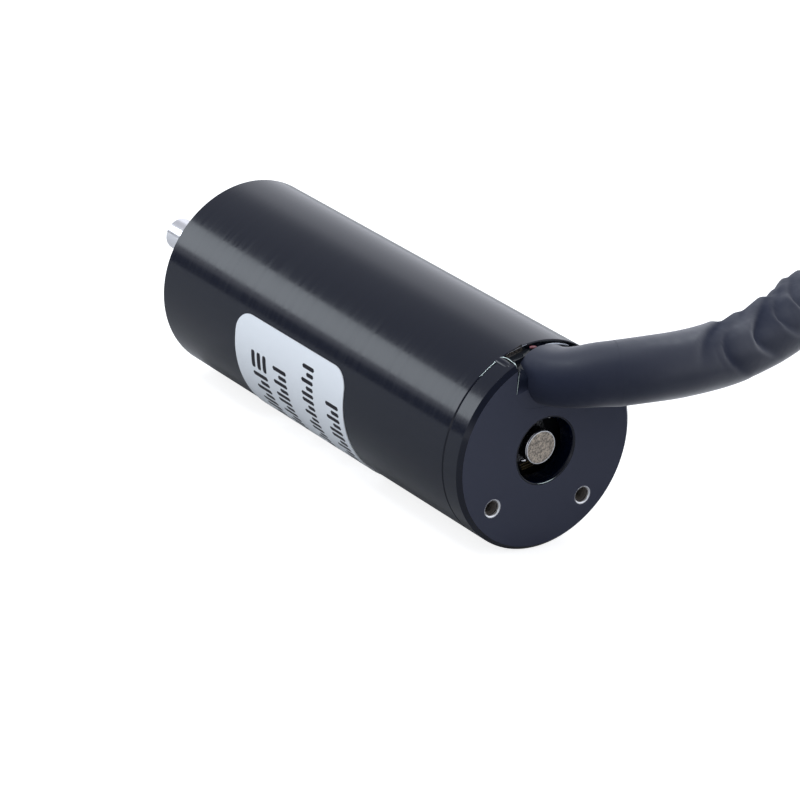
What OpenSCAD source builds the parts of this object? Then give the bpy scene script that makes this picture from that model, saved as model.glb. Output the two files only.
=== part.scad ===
// Brushless motor with a slotless stator: turned cap, magnet rotor, skewed copper basket.
// +X points out of the front along the shaft, +Z up through the slot of the rear cap.
// The origin is the centre of the front mounting face. All sizes are in millimetres.

/* [Body] */
// Diameter of the tube, the front flange's seat and the rear cap
body_d = 24; // [23.6:0.1:26]
// Length from the front mounting face to the cap's rear face
body_len = 60; // [58:0.5:80]
// Wall of the tube
tube_wall = 0.8; // [0.6:0.1:1]
// Bevel on the tube's front edge
tube_bevel = 0.3; // [0.1:0.1:0.5]
// Fine bevel on both edges of the joint between tube and cap
joint_bevel = 0.15; // [0.05:0.05:0.3]

/* [Front flange] */
// Thickness of the front flange
flange_t = 7; // [6.5:0.1:8]
// Diameter of the locating boss
pilot_d = 12; // [11:0.5:13]
// Height of the locating boss
pilot_h = 1.5; // [1:0.1:2.5]
// Pitch circle of the four front holes
front_pcd = 17; // [16.4:0.2:17.8]
// Number of front holes
front_hole_n = 4; // [3:1:6]
// Depth of the front holes
front_hole_depth = 4.5; // [3:0.5:5.5]
// Core diameter of the front tapped holes
front_tap_d = 2.05; // [1.6:0.05:2.5]

/* [Shaft] */
// Diameter of the shaft
shaft_d = 4; // [3.8:0.1:4.2]
// How far the shaft stands out of the front face
shaft_out = 15; // [10:0.5:20]
// How deep the shaft's rear end lies below the cap's rear face
shaft_sunk = 0.9; // [0.8:0.1:2]
// Depth of the relief between the front bearing and the output end
relief_depth = 0.2; // [0.2:0.05:0.4]
// Bevel on both shaft ends
shaft_bevel = 0.2; // [0.1:0.05:0.4]
// Radial gap between the shaft and every fixed part that it passes through
shaft_gap = 0.6; // [0.4:0.1:0.8]

/* [Bearings] */
// Outer diameter of a bearing
bearing_d = 10; // [9.6:0.1:10.4]
// Width of a bearing
bearing_w = 4; // [3.6:0.1:4.4]
// Thickness of the bearing's inner ring at its land
inner_ring_t = 0.9; // [0.8:0.05:1]
// Thickness of the bearing's outer ring at its land
outer_ring_t = 0.9; // [0.8:0.05:1]
// Diameter of a ball
ball_d = 1.6; // [1.4:0.05:1.7]
// Number of balls
ball_n = 7; // [5:1:8]
// Gap between ball and race
race_gap = 0.03; // [0.02:0.01:0.05]
// Gap between ball and cage pocket
pocket_gap = 0.06; // [0.04:0.01:0.08]
// Width of the cage
cage_w = 2; // [1.9:0.05:2.2]
// Radial thickness of the cage
cage_t = 0.6; // [0.4:0.05:0.7]
// Thickness of a shield
shield_t = 0.2; // [0.15:0.05:0.25]
// How far a shield reaches into the outer ring
shield_seat = 0.2; // [0.1:0.05:0.3]
// Gap between a shield and the inner ring
shield_gap = 0.15; // [0.1:0.05:0.25]
// Free height of the wave spring behind the rear bearing
spring_h = 0.6; // [0.5:0.05:0.8]
// Thickness of the wave spring
spring_t = 0.15; // [0.1:0.05:0.2]

/* [Rotor] */
// Air gap between the magnet and the winding
air_gap = 0.72; // [0.6:0.02:1.2]
// How far the balance rings stay below the magnet's surface
ring_step = 0.5; // [0.3:0.1:1]
// Thickness of a balance ring
ring_t = 1.8; // [1.4:0.1:2.2]
// Wall of the spacer sleeves
spacer_wall = 0.8; // [0.6:0.05:0.85]
// Length of the front spacer sleeve
front_spacer_len = 1.8; // [1.5:0.1:2.5]
// Distance from the magnet's rear balance ring to the sensor board
ring_board_gap = 2.6; // [2.2:0.1:3]

/* [Stator] */
// Radial thickness of the laminations
stack_t = 2.3; // [2:0.1:2.5]
// Thickness of the insulation liner
liner_t = 0.18; // [0.1:0.02:0.3]
// Radial thickness of the winding at its ridges
coil_t = 1.7; // [1.4:0.1:1.8]
// Depth of the valleys between the strands
strand_depth = 0.25; // [0.15:0.05:0.35]
// Number of strand bundles round the winding
strand_n = 24; // [18:1:26]
// Angle through which a strand turns from end to end
strand_skew = 120; // [80:5:150]
// How far the winding stands past the laminations at each end
coil_overhang = 1.3; // [0.8:0.1:1.4]
// Distance from the flange's inner face to the laminations
stack_start = 2.5; // [2.2:0.1:3]
// Distance from the laminations' rear end to the sensor board
stack_board_gap = 2.3; // [2:0.1:3]
// Radius of the alignment groove along the laminations
stack_groove_r = 0.5; // [0.3:0.1:0.7]

/* [Boards and inner wires] */
// Thickness of both circuit boards
board_t = 0.8; // [0.6:0.1:1]
// Radial gap between a board and the wall round it
board_gap = 0.1; // [0.05:0.05:0.2]
// Distance of the winding's leads below the winding's outer surface
coil_lead_in = 0.72; // [0.66:0.02:0.84]
// Diameter of a winding lead
coil_lead_d = 0.9; // [0.6:0.1:1]
// Diameter of a board pin
pin_d = 0.5; // [0.4:0.05:0.6]
// Pitch of the board pins
pin_pitch = 1.27; // [1:0.01:1.35]
// Number of board pins
pin_n = 5; // [3:1:5]
// Distance of the pin row inside the wall of the cap's pocket
pin_in = 2.3; // [2.1:0.1:2.6]
// Clearance round leads and pins in the boards and the carrier
pass_gap = 0.15; // [0.1:0.05:0.2]
// Height of a solder joint
solder_h = 0.45; // [0.3:0.05:0.6]
// Diameter of a phase wire
phase_wire_d = 1.3; // [1:0.1:1.3]
// Diameter of a sensor wire
sensor_wire_d = 0.8; // [0.6:0.1:0.8]
// Length of a sensor across the board
sensor_len = 2.9; // [2.4:0.1:3.2]
// Width of a sensor
sensor_w = 1.3; // [1.1:0.1:1.6]
// Height of a sensor
sensor_h = 1.1; // [0.9:0.1:1.4]
// Distance of the sensors' middle inside the magnet's surface
sensor_in = 0.7; // [0.5:0.1:0.9]
// Number of sensors
sensor_n = 3; // [3:1:4]

/* [Rear bearing carrier] */
// Thickness of the shoulder behind the wave spring
carrier_shoulder = 0.6; // [0.4:0.1:0.8]
// Height of the rim that carries the sensor board
carrier_rim_h = 1.2; // [0.8:0.1:1.6]
// Width of that rim
carrier_rim_w = 1.4; // [1:0.1:1.6]

/* [Rear cap] */
// Length of the cap's visible rim
cap_rim_len = 3; // [2.8:0.1:3.5]
// Length of the cap's spigot inside the tube
cap_spigot_len = 2; // [1.6:0.1:2.4]
// Wall of the spigot
cap_spigot_wall = 1.9; // [1.7:0.1:2]
// Thickness of the cap's rear wall
cap_face_t = 1.5; // [1.2:0.1:1.8]
// Bevel on the cap's rear edge
cap_bevel = 0.5; // [0.3:0.1:0.8]
// Bevel on the edge of the centre hole
cap_hole_bevel = 0.15; // [0.1:0.05:0.25]
// Distance of each rear hole from the cap's rim
rear_hole_in = 3.1; // [3:0.1:3.3]
// Angle of each rear hole from straight down
rear_hole_angle = 46; // [40:1:55]
// Core diameter of the rear tapped holes
rear_tap_d = 1.6; // [1.2:0.1:1.8]
// Depth of the rear holes
rear_hole_depth = 2.4; // [2:0.1:2.6]
// Diameter of the countersinks
countersink_d = 2.2; // [2.1:0.1:2.4]
// Diameter of the boss round each rear hole
boss_d = 4.4; // [3.6:0.1:4.8]
// Height of that boss inside the cap
boss_h = 1.5; // [1.3:0.1:1.6]

/* [Cable slot] */
// Width of the slot at its upright walls
slot_w = 11; // [10.6:0.1:11.4]
// Outward lean of the slot's walls
slot_lean = 6; // [0:1:8]
// Depth of the slot from the cap's rim
slot_depth = 6.7; // [6.6:0.1:6.9]
// Web between the slot's floor and the centre hole
slot_web = 1.3; // [1.1:0.1:1.5]
// Radius of the slot's lower corners
slot_corner_r = 2.5; // [1:0.1:3]
// Radius of the cap's corners beside the slot at the joint, seen from above
slot_end_r = 2; // [1.5:0.1:2.2]

/* [Label] */
// Length of the label along the tube
label_len = 22; // [16:1:24]
// Height of the label round the tube
label_h = 18; // [12:0.5:19]
// Distance from the cap's rear face to the label
label_start = 22; // [14:1:26]
// Angle of the label's upper edge from straight up
label_top = 79; // [76:1:85]
// Corner radius of the label
label_corner_r = 3.6; // [2:0.2:4.4]
// Thickness of the label
label_t = 0.1; // [0.08:0.02:0.2]

/* [Lead] */
// Diameter of the sleeved lead
lead_d = 7.4; // [7:0.1:7.6]
// Diameter of the sleeve where it is set in the slot
root_d = 6.6; // [6:0.1:6.9]
// Place of the sleeve's end across the slot, from the centre plane
root_side = 0.6; // [0.2:0.1:1]
// Gap between the slot's floor and the sleeve
root_lift = 0.3; // [0.2:0.1:0.6]
// Distance of the sleeve's end from the joint between tube and cap
root_start = 1.2; // [0.8:0.1:1.4]
// Radius of the sleeve's first bend
root_bend_r = 4.8; // [4.4:0.1:5]
// Angle of the first bend
root_turn = 64; // [60:1:68]
// Rise of the bend's plane towards the side
root_rise = 12; // [8:1:16]
// Length of the straight stretch after the bend
root_run = 3.4; // [3:0.1:4]
// Diameter of a wire between the sleeve and the connector
tail_wire_d = 1.4; // [1:0.1:1.5]
// Pitch of those wires where they leave the sleeve
tail_pitch = 1.6; // [1.5:0.05:1.7]
// Length of those wires
tail_len = 8; // [6:0.5:12]

/* [Connector] */
// Pitch of the contacts
contact_pitch = 3; // [2.8:0.1:3.4]
// Contacts in a row
contact_cols = 4; // [2:1:4]
// Width of the housing past the outer contacts
plug_side = 2.9; // [2.4:0.1:3.4]
// Height of the connector housing
plug_h = 7.4; // [7:0.1:8]
// Length of the connector housing
plug_len = 14; // [12:0.5:18]
// Width of a contact cavity
cavity_w = 2; // [1.8:0.1:2.2]
// Depth of a contact cavity
cavity_depth = 9; // [7:0.5:10]
// Width of a contact
contact_w = 1.8; // [1.5:0.1:1.8]
// Opening of a contact
contact_open = 1.1; // [0.8:0.1:1.2]
// Length of a contact
contact_len = 6; // [4:0.5:6.5]
// Width of the latch arm
latch_w = 4.4; // [3:0.2:6]
// Thickness of the latch arm
latch_t = 0.9; // [0.7:0.1:1.2]
// Gap under the latch arm
latch_gap = 0.8; // [0.6:0.1:1]

/* [Hidden] */
$fn = 64;

// Radii
body_r = body_d / 2;
seat_r = body_r - tube_wall;
shaft_r = shaft_d / 2;
bearing_r = bearing_d / 2;
inner_land_r = shaft_r + inner_ring_t;
outer_land_r = bearing_r - outer_ring_t;
pitch_r = (inner_land_r + outer_land_r) / 2;
ball_r = ball_d / 2;
pass_r = shaft_r + shaft_gap;
stack_r = seat_r - stack_t;
coil_r = stack_r - liner_t;
magnet_r = coil_r - coil_t - air_gap;
ring_r = magnet_r - ring_step;
coil_lead_r = coil_r - coil_lead_in;
sensor_r = magnet_r - sensor_in;
pocket_r = seat_r - cap_spigot_wall;
pin_drop = pocket_r - pin_in;
slot_floor = body_r - slot_depth;
cap_hole_r = slot_floor - slot_web;
rear_pcd = body_d - 2 * rear_hole_in;

// Stations along the axis, counted from the front face and negative inside
flange_back = -flange_t;
joint_x = -(body_len - cap_rim_len);
cap_back = -body_len;
carrier_back = joint_x + cap_spigot_len;
shoulder_x = carrier_back + carrier_shoulder;
rear_bearing_back = shoulder_x + spring_h;
rear_bearing_front = rear_bearing_back + bearing_w;
front_bearing_front = flange_back + bearing_w;
sensor_board_back = rear_bearing_front + carrier_rim_h;
sensor_board_front = sensor_board_back + board_t;
terminal_back = carrier_back - board_t;
pocket_back = cap_back + cap_face_t;
front_ring_front = flange_back - front_spacer_len;
magnet_front = front_ring_front - ring_t;
rear_ring_back = sensor_board_front + ring_board_gap;
magnet_back = rear_ring_back + ring_t;
stack_front = flange_back - stack_start;
stack_back = sensor_board_front + stack_board_gap;
coil_front = stack_front + coil_overhang;
coil_back = stack_back - coil_overhang;
shaft_front = shaft_out;
shaft_back = cap_back + shaft_sunk;
solder_back = terminal_back - solder_h;

// Angles of the winding's leads from straight up
coil_lead_angles = [50, 70, 90];
// Small bevel on turned inner pieces
fine_bevel = 0.15;
// Steps of the rounding beside the slot
slot_end_steps = 8;
// Countersink depth follows from its two diameters
countersink_h = (countersink_d - rear_tap_d) / 2;
// Radial room round the shaft inside each board
terminal_room = 0.4;
hall_room = 0.8;
// Drillings of the balance rings: radius, depth and the angle between the two
drill_r = 0.5;
drill_depth = 1;
drill_step = 25;
// Feet of a sensor: width, length, thickness and distance from the sensor's end
foot_w = 0.4;
foot_len = 0.35;
foot_t = 0.3;
foot_in = 0.2;
// How far the wave spring stays inside the outer ring, and past its land
spring_rim = 0.2;
spring_lap = 0.1;
// Room between the glue and the slot's walls, and how far it stands above the tube's bore
glue_gap = 0.1;
glue_rise = 0.3;
// How far a solder joint stands round its wire, lead or pin at the board
solder_foot = 0.08;
// Overlap of cutting tools past the faces that they cut
cut = 0.5;
// Room between a wire and the glue round it
wire_room = 0.02;

// Root of the lead
root_x = joint_x - root_start;
root_r = root_d / 2;
root_z = slot_floor + root_lift + root_r;
root_steps = 8;
function root_bend(turn) = [root_x, root_side, root_z] + root_bend_r * [
  -sin(turn),
  -(1 - cos(turn)) * cos(root_rise),
  (1 - cos(turn)) * sin(root_rise)
];
root_heading = [
  -cos(root_turn),
  -sin(root_turn) * cos(root_rise),
  sin(root_turn) * sin(root_rise)
];
root_end = root_bend(root_turn) + root_run * root_heading;
root_route = concat([for (i = [0 : root_steps]) root_bend(i * root_turn / root_steps)], [root_end]);
root_sides = 24;

// Route of the free lead, from the end of its root to the end of its sleeve
lead_route = concat([root_end], [
  [-65.1, -9, 10.6], [-65.5, -13, 10.9], [-65.1, -17, 11], [-64.2, -21, 11.1],
  [-62.9, -25, 11.2], [-61.4, -29, 11.4], [-59.7, -32.8, 11.6], [-57.8, -36.5, 11.7],
  [-55.8, -40.1, 11.5], [-53.3, -45.3, 10.5], [-51.4, -50.7, 8.6], [-50.1, -56.3, 5.4],
  [-49.7, -62, 1.6], [-49.9, -67.8, -2.2], [-50.9, -73.4, -5.4], [-52.5, -78.9, -7.5],
  [-54.8, -84.2, -8.3], [-58, -89, -8.3], [-62.3, -92.8, -8.3], [-67.3, -95.6, -8.3],
  [-72.9, -96.9, -8.3], [-78.7, -97, -8.3], [-84.2, -95.7, -8.3], [-89.3, -93.2, -8.3],
  [-93.7, -89.4, -8.3], [-97.1, -84.7, -8.3], [-99.3, -79.5, -8.3], [-100, -74, -8.3],
  [-100, -68, -8.3], [-100, -61, -8.3], [-100, -54, -8.3]
]);
lead_sides = 12;
wire_sides = 10;
lead_end = lead_route[len(lead_route) - 1];

// Connector
plug_back_y = lead_end[1] + tail_len;
plug_front_y = plug_back_y + plug_len;
plug_w = (contact_cols - 1) * contact_pitch + 2 * plug_side;
plug_z = lead_end[2];
plug_corner_r = 0.6;
// Latch: distances of its foot and arm from the housing's ends, and its foot and thumb pad
latch_foot_in = 3;
latch_foot_len = 1.6;
latch_start = 1;
latch_sunk = 0.2;
thumb_len = 2.4;
thumb_side = 0.4;
thumb_rise = 0.3;
// Thickness of a contact's floor
contact_floor = 1;
// Keys on the sides: distance from each end, width and how far they stand out
key_in = 2;
key_w = 1.2;
key_out = 0.4;

// Solid rod along X
module rod_x(x0, x1, r)
  translate([min(x0, x1), 0, 0])
    rotate([0, 90, 0])
      cylinder(h = abs(x1 - x0), r = r);

// Heading of a route at one of its points
function unit(v) = v / norm(v);
function heading(route, i, first) =
  i == 0 ? first :
  i == len(route) - 1 ? unit(route[i] - route[i - 1]) :
  unit(route[i + 1] - route[i - 1]);

// Ring of points round a place on a route, upright against Z
function ring(p, dir, r, sides) =
  let (side = unit(cross(dir, [0, 0, 1])), up = cross(side, dir))
    [for (k = [0 : sides - 1]) p + r * (cos(k * 360 / sides) * side + sin(k * 360 / sides) * up)];

// Closed tube swept along a route whose radius runs evenly from r0 to r1
module swept_tube(route, r0, r1, sides, first) {
  n = sides;
  last = len(route) - 1;
  points = [
    for (i = [0 : last])
      each ring(route[i], heading(route, i, first), r0 + (r1 - r0) * i / last, n)
  ];
  faces = concat(
    [[for (k = [0 : n - 1]) n - 1 - k]],
    [[for (k = [0 : n - 1]) last * n + k]],
    [
      for (i = [0 : last - 1])
        for (k = [0 : n - 1])
          let (m = (k + 1) % n)
            each [
              [i * n + k, i * n + m, (i + 1) * n + k],
              [i * n + m, (i + 1) * n + m, (i + 1) * n + k]
            ]
    ]
  );
  polyhedron(points, faces);
}

// Round wire through a list of points
module wire(points, r)
  swept_tube(points, r, r, wire_sides, unit(points[1] - points[0]));

// Turned ring along X with a bevel on every outer edge
module turned_ring(x0, x1, r_out, r_in, bevel = 0)
  rotate([0, 90, 0])
    rotate_extrude()
      polygon([
        [r_in, x0], [r_out - bevel, x0], [r_out, x0 + bevel],
        [r_out, x1 - bevel], [r_out - bevel, x1], [r_in, x1]
      ]);

// Puts its children at a radius and an angle from straight up, seen from behind towards +Y
module at_angle(r, angle)
  translate([0, r * sin(angle), r * cos(angle)])
    children();

// Anodised tube
module housing()
  color("#2b2d35")
    rotate([0, 90, 0])
      rotate_extrude()
        polygon([
          [seat_r, joint_x], [body_r - joint_bevel, joint_x], [body_r, joint_x + joint_bevel],
          [body_r, -tube_bevel], [body_r - tube_bevel, 0], [seat_r, 0]
        ]);

// Flange pressed in the tube, with its locating boss, bearing seat and tapped holes
module front_flange()
  color("#3a3c44")
    difference() {
      union() {
        turned_ring(flange_back, 0, seat_r, pass_r);
        turned_ring(-cut, pilot_h, pilot_d / 2, pass_r, fine_bevel);
      }
      rod_x(flange_back - cut, front_bearing_front, bearing_r);
      for (i = [0 : front_hole_n - 1])
        at_angle(front_pcd / 2, (i + 0.5) * 360 / front_hole_n)
          rod_x(-front_hole_depth, cut, front_tap_d / 2);
    }

// Outline of the cable slot seen along X, with y across and z up
module slot_outline() {
  half = slot_w / 2;
  corner_z = slot_floor + slot_corner_r;
  top_half = half + (body_r + cut - corner_z) * tan(slot_lean);
  polygon([
    [-half, corner_z], [half, corner_z],
    [top_half, body_r + cut], [-top_half, body_r + cut]
  ]);
  translate([-half + slot_corner_r, slot_floor])
    square([2 * (half - slot_corner_r), slot_corner_r + cut]);
  for (side = [-1, 1])
    translate([side * (half - slot_corner_r), corner_z])
      circle(r = slot_corner_r);
}

// Cable slot: its outline along X, wider at the joint where the cap's corners are rounded
module slot_cut() {
  translate([cap_back - cut, 0, 0])
    rotate([90, 0, 90])
      linear_extrude(height = cap_rim_len + cut)
        slot_outline();
  for (side = [-1, 1])
    slot_end(side);
}

// What the rounding takes off one corner of the cap, along the slot's leaning wall
module slot_end(side)
  translate([joint_x, side * slot_w / 2, slot_floor + slot_corner_r])
    rotate([-side * slot_lean, 0, 0])
      linear_extrude(height = body_r)
        polygon(concat(
          [[0, -side * cut], [-slot_end_r, -side * cut]],
          [for (k = [0 : slot_end_steps])
            slot_end_r * [
              sin(k * 90 / slot_end_steps) - 1,
              side * (1 - cos(k * 90 / slot_end_steps))
            ]]
        ));

// Turned rear cap with its spigot, pocket, centre hole, tapped bosses and cable slot
module rear_cap()
  color("#32343c")
    difference() {
      union() {
        rotate([0, 90, 0])
          rotate_extrude()
            polygon([
              [cap_hole_r, cap_back + cap_hole_bevel],
              [cap_hole_r + cap_hole_bevel, cap_back], [body_r - cap_bevel, cap_back],
              [body_r, cap_back + cap_bevel], [body_r, joint_x - joint_bevel],
              [body_r - joint_bevel, joint_x], [seat_r, joint_x],
              [seat_r, carrier_back], [pocket_r, carrier_back],
              [pocket_r, pocket_back], [cap_hole_r, pocket_back]
            ]);
        for (side = [-1, 1])
          intersection() {
            at_angle(rear_pcd / 2, 180 + side * rear_hole_angle)
              rod_x(pocket_back - cut, pocket_back + boss_h, boss_d / 2);
            rod_x(pocket_back - cut, joint_x + cut, seat_r - tube_wall);
          }
      }
      slot_cut();
      for (side = [-1, 1])
        at_angle(rear_pcd / 2, 180 + side * rear_hole_angle)
          rear_hole();
    }

// One countersunk tapped hole from the rear
module rear_hole() {
  rod_x(cap_back - cut, cap_back + rear_hole_depth, rear_tap_d / 2);
  translate([cap_back - cut, 0, 0])
    rotate([0, 90, 0])
      cylinder(h = cut + countersink_h, r1 = countersink_d / 2 + cut, r2 = rear_tap_d / 2);
}

// Rounded label wrapped on the tube
module label() {
  angle = label_h / body_r * 180 / PI;
  corner_angle = asin(label_corner_r / body_r);
  x_back = cap_back + label_start;
  color("#dfe4ea")
    difference() {
      translate([x_back, 0, 0])
        rotate([90 - label_top, 0, 0])
          rotate([0, 90, 0])
            rotate([0, 0, 90])
              rotate_extrude(angle = -angle)
                translate([body_r, 0])
                  square([label_t, label_len]);
      for (upper = [true, false])
        for (front = [true, false])
          rotate([-(upper ? label_top + corner_angle : label_top + angle - corner_angle), 0, 0])
            translate([front ? x_back + label_len - label_corner_r : x_back + label_corner_r, 0, 0])
              label_corner(front ? 1 : -1, upper ? -1 : 1);
    }
}

// What is cut off one label corner: a square past the arc's centre, less the arc's disc,
// which is a little wider than the corner so that the arc meets both edges cleanly
module label_corner(way_x, way_y)
  translate([0, 0, body_r / 2])
    linear_extrude(height = body_r / 2 + 1)
      difference() {
        translate([way_x > 0 ? 0 : -label_corner_r - cut, way_y > 0 ? 0 : -label_corner_r - cut])
          square(label_corner_r + cut);
        circle(r = label_corner_r * 1.07);
      }

// Section of a race land with its ball groove, between two radii
module race_section(r_in, r_out)
  difference() {
    translate([r_in, -bearing_w / 2])
      square([r_out - r_in, bearing_w]);
    translate([pitch_r, 0])
      circle(r = ball_r + race_gap);
  }

// Outer ring of a bearing with its two shield seats
module bearing_outer(x_mid)
  color("#b9bcc2")
    translate([x_mid, 0, 0])
      rotate([0, 90, 0])
        rotate_extrude()
          difference() {
            race_section(outer_land_r, bearing_r);
            for (side = [-1, 1])
              translate([outer_land_r - cut, side * (bearing_w / 2 - shield_t / 2) - shield_t / 2])
                square([shield_seat + cut, shield_t]);
          }

// Inner ring of a bearing
module bearing_inner(x_mid)
  color("#c4c7cc")
    translate([x_mid, 0, 0])
      rotate([0, 90, 0])
        rotate_extrude()
          race_section(shaft_r, inner_land_r);

// Balls of a bearing
module bearing_balls(x_mid)
  color("#e0e2e6")
    for (i = [0 : ball_n - 1])
      translate([x_mid, 0, 0])
        at_angle(pitch_r, i * 360 / ball_n)
          sphere(r = ball_r, $fn = 32);

// Cage: one ring with a round pocket for each ball
module bearing_cage(x_mid)
  color("#b08d57")
    translate([x_mid, 0, 0])
      difference() {
        turned_ring(-cage_w / 2, cage_w / 2, pitch_r + cage_t / 2, pitch_r - cage_t / 2);
        for (i = [0 : ball_n - 1])
          rotate([-i * 360 / ball_n, 0, 0])
            translate([0, 0, pitch_r - cage_t])
              cylinder(h = 2 * cage_t, r = ball_r + pocket_gap);
      }

// Two shields in the outer ring's seats
module bearing_shields(x_mid)
  color("#8d9096")
    for (side = [-1, 1])
      translate([x_mid + side * (bearing_w - shield_t) / 2, 0, 0])
        turned_ring(
          -shield_t / 2, shield_t / 2,
          outer_land_r + shield_seat, inner_land_r + shield_gap
        );

front_bearing_mid = front_bearing_front - bearing_w / 2;
rear_bearing_mid = rear_bearing_front - bearing_w / 2;

module front_bearing_outer() bearing_outer(front_bearing_mid);
module front_bearing_inner() bearing_inner(front_bearing_mid);
module front_bearing_balls() bearing_balls(front_bearing_mid);
module front_bearing_cage() bearing_cage(front_bearing_mid);
module front_bearing_shields() bearing_shields(front_bearing_mid);
module rear_bearing_outer() bearing_outer(rear_bearing_mid);
module rear_bearing_inner() bearing_inner(rear_bearing_mid);
module rear_bearing_balls() bearing_balls(rear_bearing_mid);
module rear_bearing_cage() bearing_cage(rear_bearing_mid);
module rear_bearing_shields() bearing_shields(rear_bearing_mid);

// Wave spring: a flat ring that rises and falls three times round
module wave_spring() {
  steps = 48;
  waves = 3;
  mid_x = (shoulder_x + rear_bearing_back) / 2;
  swing = (spring_h - spring_t) / 2 - 0.005;
  r_in = outer_land_r - spring_lap;
  r_out = bearing_r - spring_rim;
  corners = [[r_in, -spring_t / 2], [r_out, -spring_t / 2], [r_out, spring_t / 2], [r_in, spring_t / 2]];
  points = [
    for (i = [0 : steps - 1])
      let (a = i * 360 / steps)
        for (c = corners)
          [mid_x + c[1] + swing * sin(waves * a), c[0] * sin(a), c[0] * cos(a)]
  ];
  faces = [
    for (i = [0 : steps - 1])
      for (j = [0 : 3])
        let (k = (i + 1) % steps, m = (j + 1) % 4)
          each [[i * 4 + j, k * 4 + j, i * 4 + m], [i * 4 + m, k * 4 + j, k * 4 + m]]
  ];
  color("#9a9da3")
    polyhedron(points, faces);
}

// Carrier disc pressed in the tube: rear bearing seat, spring shoulder, board rim, passages
module rear_bearing_carrier()
  color("#a9adb4")
    difference() {
      union() {
        turned_ring(carrier_back, rear_bearing_front, seat_r, pass_r);
        turned_ring(
          rear_bearing_front - cut, sensor_board_back,
          seat_r, seat_r - carrier_rim_w
        );
      }
      rod_x(shoulder_x, rear_bearing_front + cut, bearing_r);
      coil_lead_holes(carrier_back - cut, sensor_board_back + cut);
      pin_slot();
    }

// Slot that lets the board pins through the carrier
module pin_slot() {
  slot_half = pin_n * pin_pitch / 2;
  translate([carrier_back - cut, -slot_half, -pin_drop - pin_pitch / 2])
    cube([sensor_board_back - carrier_back + 2 * cut, 2 * slot_half, pin_pitch]);
}

// Passages for the winding's leads
module coil_lead_holes(x0, x1)
  for (a = coil_lead_angles)
    at_angle(coil_lead_r, a)
      rod_x(x0, x1, coil_lead_d / 2 + pass_gap);

// Passages for the board pins
module pin_holes(x0, x1)
  for (y = pin_places())
    translate([0, y, -pin_drop])
      rod_x(x0, x1, pin_d / 2 + pass_gap);

function pin_places() = [for (i = [0 : pin_n - 1]) (i - (pin_n - 1) / 2) * pin_pitch];

// Ground shaft with bevelled ends and a relief before the output end
module shaft() {
  relief_back = front_bearing_front;
  relief_front = pilot_h - 0.5;
  color("#c9ccd1")
    difference() {
      turned_ring(shaft_back, shaft_front, shaft_r, 0, shaft_bevel);
      turned_ring(relief_back, relief_front, shaft_r + cut, shaft_r - relief_depth);
    }
}

// Two-pole magnet
module rotor_magnet()
  color("#5d6168")
    turned_ring(magnet_back, magnet_front, magnet_r, shaft_r, fine_bevel);

// Brass balance ring with two correction drillings
module balance_ring(x0, x1, drill_angle)
  color("#b5985a")
    difference() {
      turned_ring(x0, x1, ring_r, shaft_r, fine_bevel);
      for (a = [drill_angle, drill_angle + drill_step])
        rotate([-a, 0, 0])
          translate([(x0 + x1) / 2, 0, ring_r - drill_depth])
            cylinder(h = 2 * drill_depth, r = drill_r, $fn = 24);
    }

module front_balance_ring() balance_ring(magnet_front, front_ring_front, 40);
module rear_balance_ring() balance_ring(rear_ring_back, magnet_back, 200);

module front_spacer()
  color("#c4c7cc")
    turned_ring(front_ring_front, flange_back, shaft_r + spacer_wall, shaft_r);

module rear_spacer()
  color("#c4c7cc")
    turned_ring(rear_bearing_front, rear_ring_back, shaft_r + spacer_wall, shaft_r);

// Bonded ring of thin laminations with one alignment groove
module lamination_stack()
  color("#7a7d83")
    difference() {
      turned_ring(stack_back, stack_front, seat_r, stack_r);
      at_angle(seat_r, 180)
        rod_x(stack_back - cut, stack_front + cut, stack_groove_r);
    }

module insulation_liner()
  color("#d8b35a")
    turned_ring(coil_back, coil_front, stack_r, coil_r);

// Self-supporting copper basket: strand bundles that run askew round a plain bore
module coil_winding() {
  step = 360 / strand_n;
  low = coil_r - strand_depth;
  outline = [
    for (i = [0 : strand_n - 1])
      for (p = [[0.06, low], [0.3, coil_r], [0.7, coil_r], [0.94, low]])
        let (a = (i + p[0]) * step)
          [p[1] * cos(a), p[1] * sin(a)]
  ];
  color("#b4703a")
    difference() {
      translate([coil_back, 0, 0])
        rotate([0, 90, 0])
          linear_extrude(height = coil_front - coil_back, twist = strand_skew, slices = 12)
            polygon(outline);
      rod_x(coil_back - cut, coil_front + cut, coil_r - coil_t);
    }
}

// Three enamelled leads from the winding to the terminal board
module coil_leads()
  color("#c07a3c")
    for (a = coil_lead_angles)
      at_angle(coil_lead_r, a)
        rod_x(solder_back, coil_back, coil_lead_d / 2);

// Ring board for the sensors
module hall_board()
  color("#1f5a3a")
    difference() {
      turned_ring(sensor_board_back, sensor_board_front, seat_r - board_gap, pass_r + hall_room);
      coil_lead_holes(sensor_board_back - cut, sensor_board_front + cut);
      pin_holes(sensor_board_back - cut, sensor_board_front + cut);
    }

// Sensors with their three feet, in front of the ring board
module hall_sensors()
  color("#1c1c1f")
    for (i = [0 : sensor_n - 1])
      rotate([i * 360 / sensor_n, 0, 0])
        translate([sensor_board_front, -sensor_len / 2, sensor_r - sensor_w / 2])
          union() {
            translate([foot_t / 3, 0, 0])
              cube([sensor_h - foot_t / 3, sensor_len, sensor_w]);
            for (y = [foot_in, sensor_len - foot_in - foot_w])
              translate([0, y, -foot_len])
                cube([foot_t, foot_w, foot_len + foot_t]);
            translate([0, (sensor_len - foot_w) / 2, sensor_w - foot_t])
              cube([foot_t, foot_w, foot_len + foot_t]);
          }

// Pins that join the two boards through the carrier
module board_pins()
  color("#d0b060")
    for (y = pin_places())
      translate([0, y, -pin_drop])
        rod_x(solder_back, sensor_board_front, pin_d / 2);

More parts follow.
